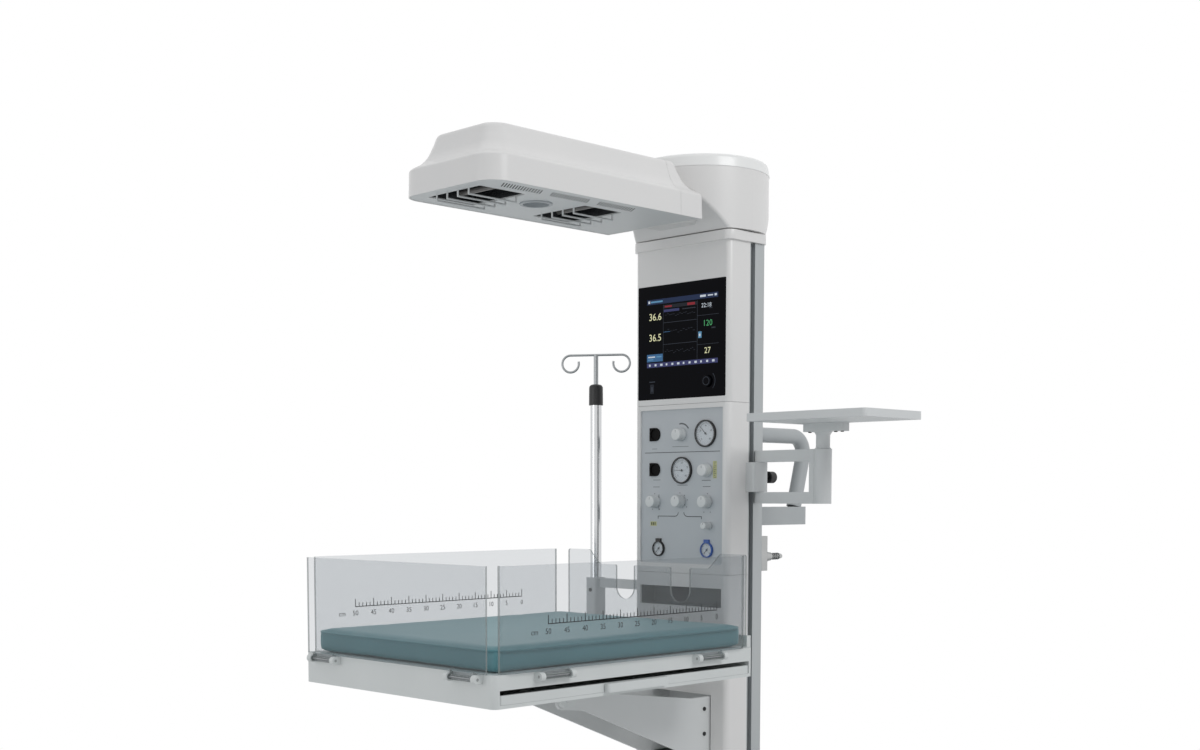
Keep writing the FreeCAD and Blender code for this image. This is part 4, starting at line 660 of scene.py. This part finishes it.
# plates: left, bottom, right, top, colour, layer; words: text, middle x, z, height, colour
screenPlates = [
    (-111, 1671, 116, 1683, "screenNavy", 1), (-107, 1674, -101, 1680, "screenWhite", 2),
    (-98, 1675, -60, 1679, "screenSky", 2), (60, 1675, 78, 1680, "screenWhite", 2),
    (84, 1676, 100, 1679, "screenWhite", 2), (105, 1675, 112, 1680, "screenWhite", 2),
    (-57, 1659, 50, 1667, "screenDim", 1), (-53, 1661, -30, 1665, "screenRed", 2),
    (20, 1660, 44, 1666, "screenRed", 2), (-56, 1650, -6, 1656, "screenViolet", 1),
    (4, 1652, 46, 1654, "screenGrey", 1), (-58, 1530, -57, 1668, "screenGrey", 1),
    (51, 1530, 52.2, 1668, "screenGrey", 1), (-57, 1624, 50, 1625.2, "screenGrey", 1),
    (-57, 1572, 50, 1573.2, "screenGrey", 1), (-57, 1602, -36, 1603, "screenBlue", 1),
    (-111, 1533, -59, 1551, "screenBlue", 1), (-107, 1543, -84, 1546, "screenWhite", 2),
    (-80, 1543, -63, 1546, "screenSky", 2), (-107, 1537, -90, 1539.5, "screenSky", 2),
    (55, 1580, 65, 1595, "screenSky", 1), (57, 1584, 62, 1590, "screenWhite", 2),
    (-111, 1519, 116, 1530, "screenViolet", 1), (52, 1632, 118, 1633, "screenGrey", 1),
    (52, 1564, 118, 1565, "screenGrey", 1), (-103, 1483, -84, 1485.5, "screenGrey", 1),
    (-100, 1456, -88, 1478, "screenDim", 1), (-97, 1461, -91, 1472, "screenGrey", 2),
    (88, 1647, 98, 1650, "screenGrey", 1), (96, 1600, 108, 1603, "screenGrey", 1),
]
screenWords = [
    ("36.6", -84, 1640, 17, "screenYellow"), ("36.5", -84, 1590, 17, "screenYellow"),
    ("22:18", 80, 1655, 10, "screenWhite"), ("120", 84, 1613, 14, "screenGreen"),
    ("27", 84, 1549, 14, "screenYellow"),
]
screenLayers = {"glass": 0.45, "step": 0.06, "thick": 0.05, "words": 0.3}
softKeys = {"count": 12, "left": -104, "pitch": 18.4, "low": 1522, "high": 1527, "width": 5,
            "wider": 1.4}
traces = {"rows": ((1640, 6, 15), (1600, 9, 12), (1552, 8, 18)), "left": -52, "right": 46,
          "base": 0.35, "waves": ((0.3, 2.1), (0.25, 0.9)), "thick": 0.9, "filled": 0.8}
selector = {"x": 84, "z": 1477.5, "face": 0.5, "knobFace": -4.4, "markRadius": 24,
            "markWidth": 1.6, "markAngle": 45, "ringRadius": 9.5, "ringWidth": 1.5}


def screenPlate(left, low, right, high, colour, layer):
    y = screenLayers["glass"] - screenLayers["step"] * layer
    return addBlock((left, y, low), (right, y + screenLayers["thick"], high), colour)


def addScreen():
    parts = [screenPlate(*plate) for plate in screenPlates]
    for i in range(softKeys["count"]):  # a row of soft keys in three widths
        left = softKeys["left"] + i * softKeys["pitch"]
        right = left + softKeys["width"] + (i % 3) * softKeys["wider"]
        parts.append(screenPlate(left, softKeys["low"], right, softKeys["high"],
                                 "screenWhite", 2))
    for level, height, count in traces["rows"]:  # stepped traces of the graph
        run = (traces["right"] - traces["left"]) / count
        for i in range(count):
            rise = height * sum((size * math.sin(i * pace) for size, pace in traces["waves"]),
                                traces["base"])
            left, low = traces["left"] + run * i, level + rise
            parts.append(screenPlate(left, low, left + run * traces["filled"],
                                     low + traces["thick"], "screenGrey", 2))
    for words, x, z, height, colour in screenWords:
        parts.append(addWords(words, (x, screenLayers["words"], z), height, colour,
                              depth=0.03))
    finishPiece(joinPieces(parts), "screenImage", "stand")


def addSelectorPrint():
    # an arc on the glass beside the knob, and a ring on the knob
    x, z, angle = selector["x"], selector["z"], selector["markAngle"]
    mark = addArc((x, selector["face"], z), selector["markRadius"], selector["markWidth"],
                  -angle, angle, "screenGrey", 0.08)
    finishPiece(mark, "selectorMark", "stand")
    ring = addArc((x, selector["knobFace"], z), selector["ringRadius"],
                  selector["ringWidth"], 0, 359.9, "screenGrey", 0.15, 48)
    finishPiece(ring, "selectorRing", "selector")


addScreen()
addSelectorPrint()
print("display lit")

panelFront = 5  # behind the covers' face
panelPrint = {
    "seam": [(-121, 1311.4, 121, 1312.8)],
    "lines": [(-77, 1156.6, -20, 1158.2), (18, 1156.2, 65, 1157.8), (-77, 1151, -75.4, 1158.2),
              (63.6, 1151, 65.2, 1157.8), (-74.5, 1172, -73, 1210)],
    "notes": [(-93, 1245, -69, 1246.2), (-93, 1228, -72, 1229.2), (65, 1243, 93, 1244.4),
              (68, 1228, 92, 1229.4), (-97, 1321, -80, 1322), (-30, 1325, 22, 1326),
              (-13, 1232, 20, 1233)],
    "spots": [(72, 1168), (92, 1168), (-95, 1174), (-72, 1174), (19, 1197), (10, 1208),
              (11, 1185), (17, 1180), (-88, 1212), (-5, 1214), (83, 1212)],
    "spotRadius": 1.3, "proud": 0.15,
    # middle x, z, radius, width, first and last angle of the branches to the middle knob
    "branches": [(-20, 1167.5, 10, 1.6, 270, 360), (18, 1167.5, 10, 1.6, 180, 270)],
    "suctionBand": (-1, 1354, 26.5, 3.4, 32, 104),
    "patches": [(99.5, 1248, 111.5, 1289, 0.1), (-102, 1133, -81, 1144, 0.12)],
}
pressureScale = {"count": 9, "left": 103, "right": 110, "shorter": 3, "low": 1250,
                 "pitch": 4.5, "thick": 1, "proud": 0.2}
patchBars = {"count": 3, "left": -99, "pitch": 5.5, "width": 3, "low": 1135, "high": 1142,
             "proud": 0.2}


def panelPlate(left, low, right, high, colour, proud):
    return addBlock((left, panelFront - proud, low), (right, panelFront, high), colour)


def panelArc(x, z, radius, width, start, stop, colour, proud, sides):
    return addArc((x, panelFront, z), radius, width, start, stop, colour, proud, sides)


def addPanelPrint():
    parts, proud = [], panelPrint["proud"]
    for kind, colour in (("seam", "printedInk"), ("lines", "printedInk"),
                         ("notes", "greyInk")):
        parts += [panelPlate(*plate, colour, proud) for plate in panelPrint[kind]]
    for x, z in panelPrint["spots"]:
        parts.append(addDisc((x, panelFront, z), "front", panelPrint["spotRadius"], proud,
                             "greyInk", sides=12))
    for branch in panelPrint["branches"]:
        parts.append(panelArc(*branch, "printedInk", proud, 8))
    parts.append(panelArc(*panelPrint["suctionBand"], "greyInk", 0.4, 14))
    for i in range(pressureScale["count"]):  # long and short marks in turn
        low = pressureScale["low"] + i * pressureScale["pitch"]
        right = pressureScale["right"] - (i % 2) * pressureScale["shorter"]
        parts.append(panelPlate(pressureScale["left"], low, right,
                                low + pressureScale["thick"], "greyInk",
                                pressureScale["proud"]))
    for *plate, height in panelPrint["patches"]:
        parts.append(panelPlate(*plate, "yellowInk", height))
    for i in range(patchBars["count"]):
        left = patchBars["left"] + i * patchBars["pitch"]
        parts.append(panelPlate(left, patchBars["low"], left + patchBars["width"],
                                patchBars["high"], "printedInk", patchBars["proud"]))
    finishPiece(joinPieces(parts), "panelPrint", "stand")


addPanelPrint()

dials = [  # name, middle, face radius, numbers
    ("airway", 77, 1354.5, 28.6, ("0", "20", "40", "60", "80")),
    ("vacuum", 2, 1268.2, 28.6, ("0", "10", "20", "30", "40")),
    ("oxygen", -72.5, 1078, 15.9, ("0", "5", "10")),
    ("air", 83, 1078, 15.9, ("0", "5", "10")),
]
# angles in degrees, anticlockwise from the right; shares are of the face's radius
dialLook = {"start": 225, "sweep": 270, "ticks": 27, "face": 4, "thick": 0.15,
            "fullRadius": 28.6, "tickHalf": 0.35, "tickHeight": 4.2, "tickDrop": 2,
            "tickFront": 3.76, "tickBack": 3.86, "tickShare": 0.86, "numberShare": 0.64,
            "numberHeight": 4.4, "numberFront": 3.8}


def turnAbout(x, z, angle):
    middle = Matrix.Translation(at(x, 0, z))
    return middle @ Matrix.Rotation(angle, 4, "Y") @ middle.inverted()


def addDial(name, x, z, radius, numbers):
    # enamelled face, ticks and numbers; a small dial has them at its own scale
    parts = [addDisc((x, dialLook["face"], z), "front", radius, dialLook["thick"],
                     "dialEnamel", sides=64)]
    size = radius / dialLook["fullRadius"]
    half = dialLook["tickHalf"] * size
    tick = addBlock((x - half, dialLook["tickFront"], z),
                    (x + half, dialLook["tickBack"], z + dialLook["tickHeight"] * size),
                    "printedInk")
    lift = (radius * dialLook["tickShare"] - dialLook["tickDrop"] * size) * millimetre
    for vertex in tick.data.vertices:
        vertex.co.z += lift
    begin = math.radians(90 - dialLook["start"])
    tick.data.transform(turnAbout(x, z, begin))
    parts.append(spinCopies(tick, dialLook["ticks"], -dialLook["sweep"], (x, 0, z)))
    reach = radius * dialLook["numberShare"]
    for i, words in enumerate(numbers):
        angle = math.radians(dialLook["start"] - dialLook["sweep"] * i / (len(numbers) - 1))
        spot = (x + reach * math.cos(angle), dialLook["numberFront"],
                z + reach * math.sin(angle))
        parts.append(addWords(words, spot, dialLook["numberHeight"] * size ** 0.6,
                              "printedInk", depth=0.04))
    finishPiece(joinPieces(parts), name + "DialFace", "stand")


for dial in dials:
    addDial(*dial)

# node, body, middle x and z, radius, height
knobs = [("suction_knob", "suction_control", -1, 1354, 15.5, 22),
         ("pressure_knob", "pressure_control", 82, 1267.5, 15.5, 22),
         ("left_flow_knob", "left_flow_control", -85.5, 1193, 15.5, 22),
         ("mix_knob", "mix_control", -2.5, 1194, 15.5, 22),
         ("right_flow_knob", "right_flow_control", 82, 1193, 15.5, 22),
         ("suction_tap", "tap_control", 89, 1136, 9, 24)]
# the pairs are shares: ribRun of the height, the others of the radius
grip = {"capShare": 0.84, "capHeight": 0.7, "capSink": 0.1, "capEdge": 0.4, "ribs": 20,
        "ribHalf": 0.7, "ribEdge": 0.3, "ribRun": (0.94, 0.44), "ribReach": (0.86, 0.97),
        "lineHalf": 0.5, "lineReach": (0.3, 0.7)}


def addKnobGrip(node, body, x, z, radius, height):
    # a white cap, ribs round the skirt and a pointer line
    top, half = panelFront - height, grip["ribHalf"]
    parts = [addDisc((x, top + grip["capSink"], z), "front", radius * grip["capShare"],
                     grip["capHeight"], "whiteNylon", grip["capEdge"])]
    near, far = (panelFront - height * share for share in grip["ribRun"])
    inner, outer = (z + radius * share for share in grip["ribReach"])
    rib = addBlock((x - half, near, inner), (x + half, far, outer), "frostedNylon",
                   grip["ribEdge"])
    parts.append(spinCopies(rib, grip["ribs"], 360, (x, 0, z)))
    half = grip["lineHalf"]
    inner, outer = (z + radius * share for share in grip["lineReach"])
    parts.append(addBlock((x - half, top - grip["capHeight"], inner), (x + half, top, outer),
                          "greyInk"))
    finishPiece(joinPieces(parts), node + "_grip", body)


for knob in knobs:
    addKnobGrip(*knob)
print("gas panel dressed")

vents = {"left": 80.2, "right": 112.8, "rake": 20, "width": 3.0, "pitch": 7.5, "count": 15,
         "starts": (-642.9, -505.9, -365.9), "lift": 0.3, "thick": 0.6}


def addVentShadeSlats():
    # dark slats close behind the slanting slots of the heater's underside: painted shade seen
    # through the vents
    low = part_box("head_pan")[0].z / millimetre + vents["lift"]
    middle = at((vents["left"] + vents["right"]) / 2, 0, 0).x
    parts = []
    for start in vents["starts"]:
        slat = addBlock((vents["left"], start, low),
                        (vents["right"], start + vents["width"], low + vents["thick"]),
                        "ventShadeBlack")
        for vertex in slat.data.vertices:
            if vertex.co.x > middle:
                vertex.co.y -= vents["rake"] * millimetre
        applyModifier(slat, "ARRAY", use_relative_offset=False, use_constant_offset=True,
                      constant_offset_displace=(0, vents["pitch"] * millimetre, 0),
                      count=vents["count"])
        parts.append(slat)
    finishPiece(joinPieces(parts), "ventShadeSlats", "head")


addVentShadeSlats()

bay = {"low": (-130.6, 4.9, 941.4), "high": (130.6, 51.6, 986.6), "thick": 0.8}
slotShade = {"inner": 139.05, "outer": 140.6, "front": 78, "back": 92, "foot": 201,
             "top": 1800, "edge": 0.4}


def addBayShadeBox():
    # a box without its front wall, in dark grey: painted shade inside the storage bay
    piece = addBlock(bay["low"], bay["high"], "bayShadeGrey")
    chooseOnly(piece)
    bpy.ops.object.mode_set(mode="EDIT")
    mesh = bmesh.from_edit_mesh(piece.data)
    for part in mesh.faces:
        part.select = part.normal.y < -0.9
    bmesh.update_edit_mesh(piece.data)
    bpy.ops.mesh.delete(type="FACE")
    bpy.ops.object.mode_set(mode="OBJECT")
    applyModifier(piece, "SOLIDIFY", thickness=bay["thick"] * millimetre, offset=-1)
    finishPiece(piece, "bayShadeBox", "stand")


addBayShadeBox()
# strips at the bottom of the mast's T-slots, in grey: painted shade in the slots
for side, name in ((-1, "slotShadeLeft"), (1, "slotShadeRight")):
    inner, outer = sorted((side * slotShade["inner"], side * slotShade["outer"]))
    strip = addBlock((inner, slotShade["front"], slotShade["foot"]),
                     (outer, slotShade["back"], slotShade["top"]), "slotShadeGrey",
                     slotShade["edge"])
    finishPiece(strip, name, "stand")

# shares of the head's radius
screwShape = {"height": 0.55, "edge": 0.25, "rim": 0.45, "recess": 0.3}


def addScrew(centre, direction, radius):
    # button head with a round recess
    head = addDisc(centre, direction, radius, radius * screwShape["height"], "blackNylon",
                   radius * screwShape["edge"], 24)
    chooseOnly(head)
    bpy.ops.object.mode_set(mode="EDIT")
    mesh = bmesh.from_edit_mesh(head.data)
    seat, areaWeight = at(*centre), 10000  # the area counts first, then the way from the seat
    top = max(mesh.faces, key=lambda f: (f.calc_center_median() - seat).length
              + f.calc_area() * areaWeight)
    for part in mesh.faces:
        part.select = part == top
    bmesh.update_edit_mesh(head.data)
    bpy.ops.mesh.inset(thickness=radius * screwShape["rim"] * millimetre, depth=0)
    bpy.ops.mesh.inset(thickness=0.02 * millimetre,
                       depth=-radius * screwShape["recess"] * millimetre)
    bpy.ops.object.mode_set(mode="OBJECT")
    return head


# body, direction of the heads, places, radius
screws = {"inletScrews": ("stand", "back", [(138, 149, 1101), (138, 149, 1035)], 4.0),
          "socketScrews": ("stand", "front", [(-371.8, 64, 960), (-371.8, 64, 850)], 5.0),
          "bracketScrews": ("shelf_table", "down", [(326, 80, 1352.5), (398, 80, 1352.5),
                                                    (416, 80, 1352.5)], 4.0),
          "cheekScrews": ("stand", "right", [(98.2, -20, 700), (98.2, -20, 640)], 5.0)}
for name, (body, direction, spots, radius) in screws.items():
    finishPiece(joinPieces([addScrew(spot, direction, radius) for spot in spots]), name, body)

wheel = {"radius": 62.8, "inner": 47, "width": 30.6, "axle": 62.5, "shoulder": (6, 2),
         "steps": 64}
stations = dict(zip(corners, ((-262, -677), (262, -677), (-262, 223), (262, 223))))


def addTyre(corner, x, y):
    # rubber tread swept from one rounded section
    half, low, high = wheel["width"] / 2, wheel["inner"], wheel["radius"]
    far, near = wheel["shoulder"]
    left = [(-half, low), (-half, high - far), (-half + near, high - near),
            (-half + far, high)]
    section = left + [(-across, reach) for across, reach in reversed(left)]
    centre = at(x, y, wheel["axle"])
    mesh = bpy.data.meshes.new("tyre")
    mesh.from_pydata([at(x + across, y, wheel["axle"] + reach) for across, reach in section],
                     [], [tuple(range(len(section)))])
    tyre = bpy.data.objects.new("tyre", mesh)
    bpy.context.scene.collection.objects.link(tyre)
    chooseOnly(tyre)
    bpy.ops.object.mode_set(mode="EDIT")
    bpy.ops.mesh.select_all(action="SELECT")
    bpy.ops.mesh.delete(type="ONLY_FACE")
    bpy.ops.mesh.select_all(action="SELECT")
    bpy.ops.mesh.spin(steps=wheel["steps"], angle=math.tau, center=centre, axis=(1, 0, 0))
    bpy.ops.mesh.select_all(action="SELECT")
    bpy.ops.mesh.remove_doubles(threshold=weldReach)
    bpy.ops.mesh.normals_make_consistent(inside=False)
    bpy.ops.object.mode_set(mode="OBJECT")
    tyre.data.materials.append(materials["wheelRubber"])
    finishPiece(tyre, corner + "_tyre", corner + "_roller")


for corner, (x, y) in stations.items():
    addTyre(corner, x, y)
print("casters dressed")

studioFloor = {"radius": 3.0, "drop": 0.5, "colour": "#ECECEC", "second": "#E8E9E9",
               "scale": 3.0, "rough": 0.8}
clearSelection()
bpy.ops.mesh.primitive_circle_add(vertices=96, radius=studioFloor["radius"],
                                  fill_type="NGON",
                                  location=(0, 0, -studioFloor["drop"] * millimetre))
floor = bpy.context.object
floor.name = "studioFloor"
floorMaterial, floorTree = startMaterial("paleFloor")
floorPlace = addNode(floorTree, "ShaderNodeTexCoord").outputs["Object"]
floorGrain = addNode(floorTree, "ShaderNodeTexNoise", {
    "Vector": floorPlace, "Scale": studioFloor["scale"]})
floorTint = addNode(floorTree, "ShaderNodeMix", {
    0: floorGrain.outputs["Fac"], 6: hexColour(studioFloor["colour"]),
    7: hexColour(studioFloor["second"])}, data_type="RGBA")
endMaterial(floorTree, addNode(floorTree, "ShaderNodeBsdfPrincipled", {
    "Base Color": floorTint.outputs[2], "Roughness": studioFloor["rough"]}))
floor.data.materials.append(floorMaterial)

worldLight = {"fill": 0.50, "fillColour": "#F4F7FA"}
world = bpy.data.worlds.new("studio")
bpy.context.scene.world = world
world.use_nodes = True
tree = world.node_tree
tree.nodes.clear()
# the light on the object is softer than the white that the camera sees behind it
path = addNode(tree, "ShaderNodeLightPath")
seen = addNode(tree, "ShaderNodeMath", {
    0: path.outputs["Is Camera Ray"], 1: path.outputs["Is Transmission Ray"]},
    operation="MAXIMUM")
seen = addNode(tree, "ShaderNodeMath", {
    0: seen.outputs[0], 1: path.outputs["Is Glossy Ray"]}, operation="MAXIMUM")
fill = addNode(tree, "ShaderNodeBackground", {
    "Color": hexColour(worldLight["fillColour"]), "Strength": worldLight["fill"]})
white = addNode(tree, "ShaderNodeBackground", {"Color": (1, 1, 1, 1), "Strength": 1.0})
mixed = addNode(tree, "ShaderNodeMixShader", {
    0: seen.outputs[0], 1: fill.outputs[0], 2: white.outputs[0]})
addNode(tree, "ShaderNodeOutputWorld", {"Surface": mixed.outputs[0]})

# place, width, depth and power of each lamp, in metres and watts
lamps = {"keyRight": ((3.4, 0.2, 3.6), 1.8, 1.5, 46),
         "topSoft": ((-0.3, -0.6, 4.2), 2.6, 2.6, 7),
         "frontFill": ((-1.2, -4.0, 1.6), 2.0, 2.0, 21)}
lampTarget = Vector((0, 0.1, 1.2))
for name, (place, wide, deep, power) in lamps.items():
    light = bpy.data.lights.new(name, "AREA")
    light.shape, light.size, light.size_y, light.energy = "RECTANGLE", wide, deep, power
    lamp = bpy.data.objects.new(name, light)
    lamp.location = place
    aim = lampTarget - Vector(place)
    lamp.rotation_euler = aim.to_track_quat("-Z", "Y").to_euler()
    bpy.context.scene.collection.objects.link(lamp)
bpy.context.scene.view_settings.view_transform = "Standard"
print("stage lit")
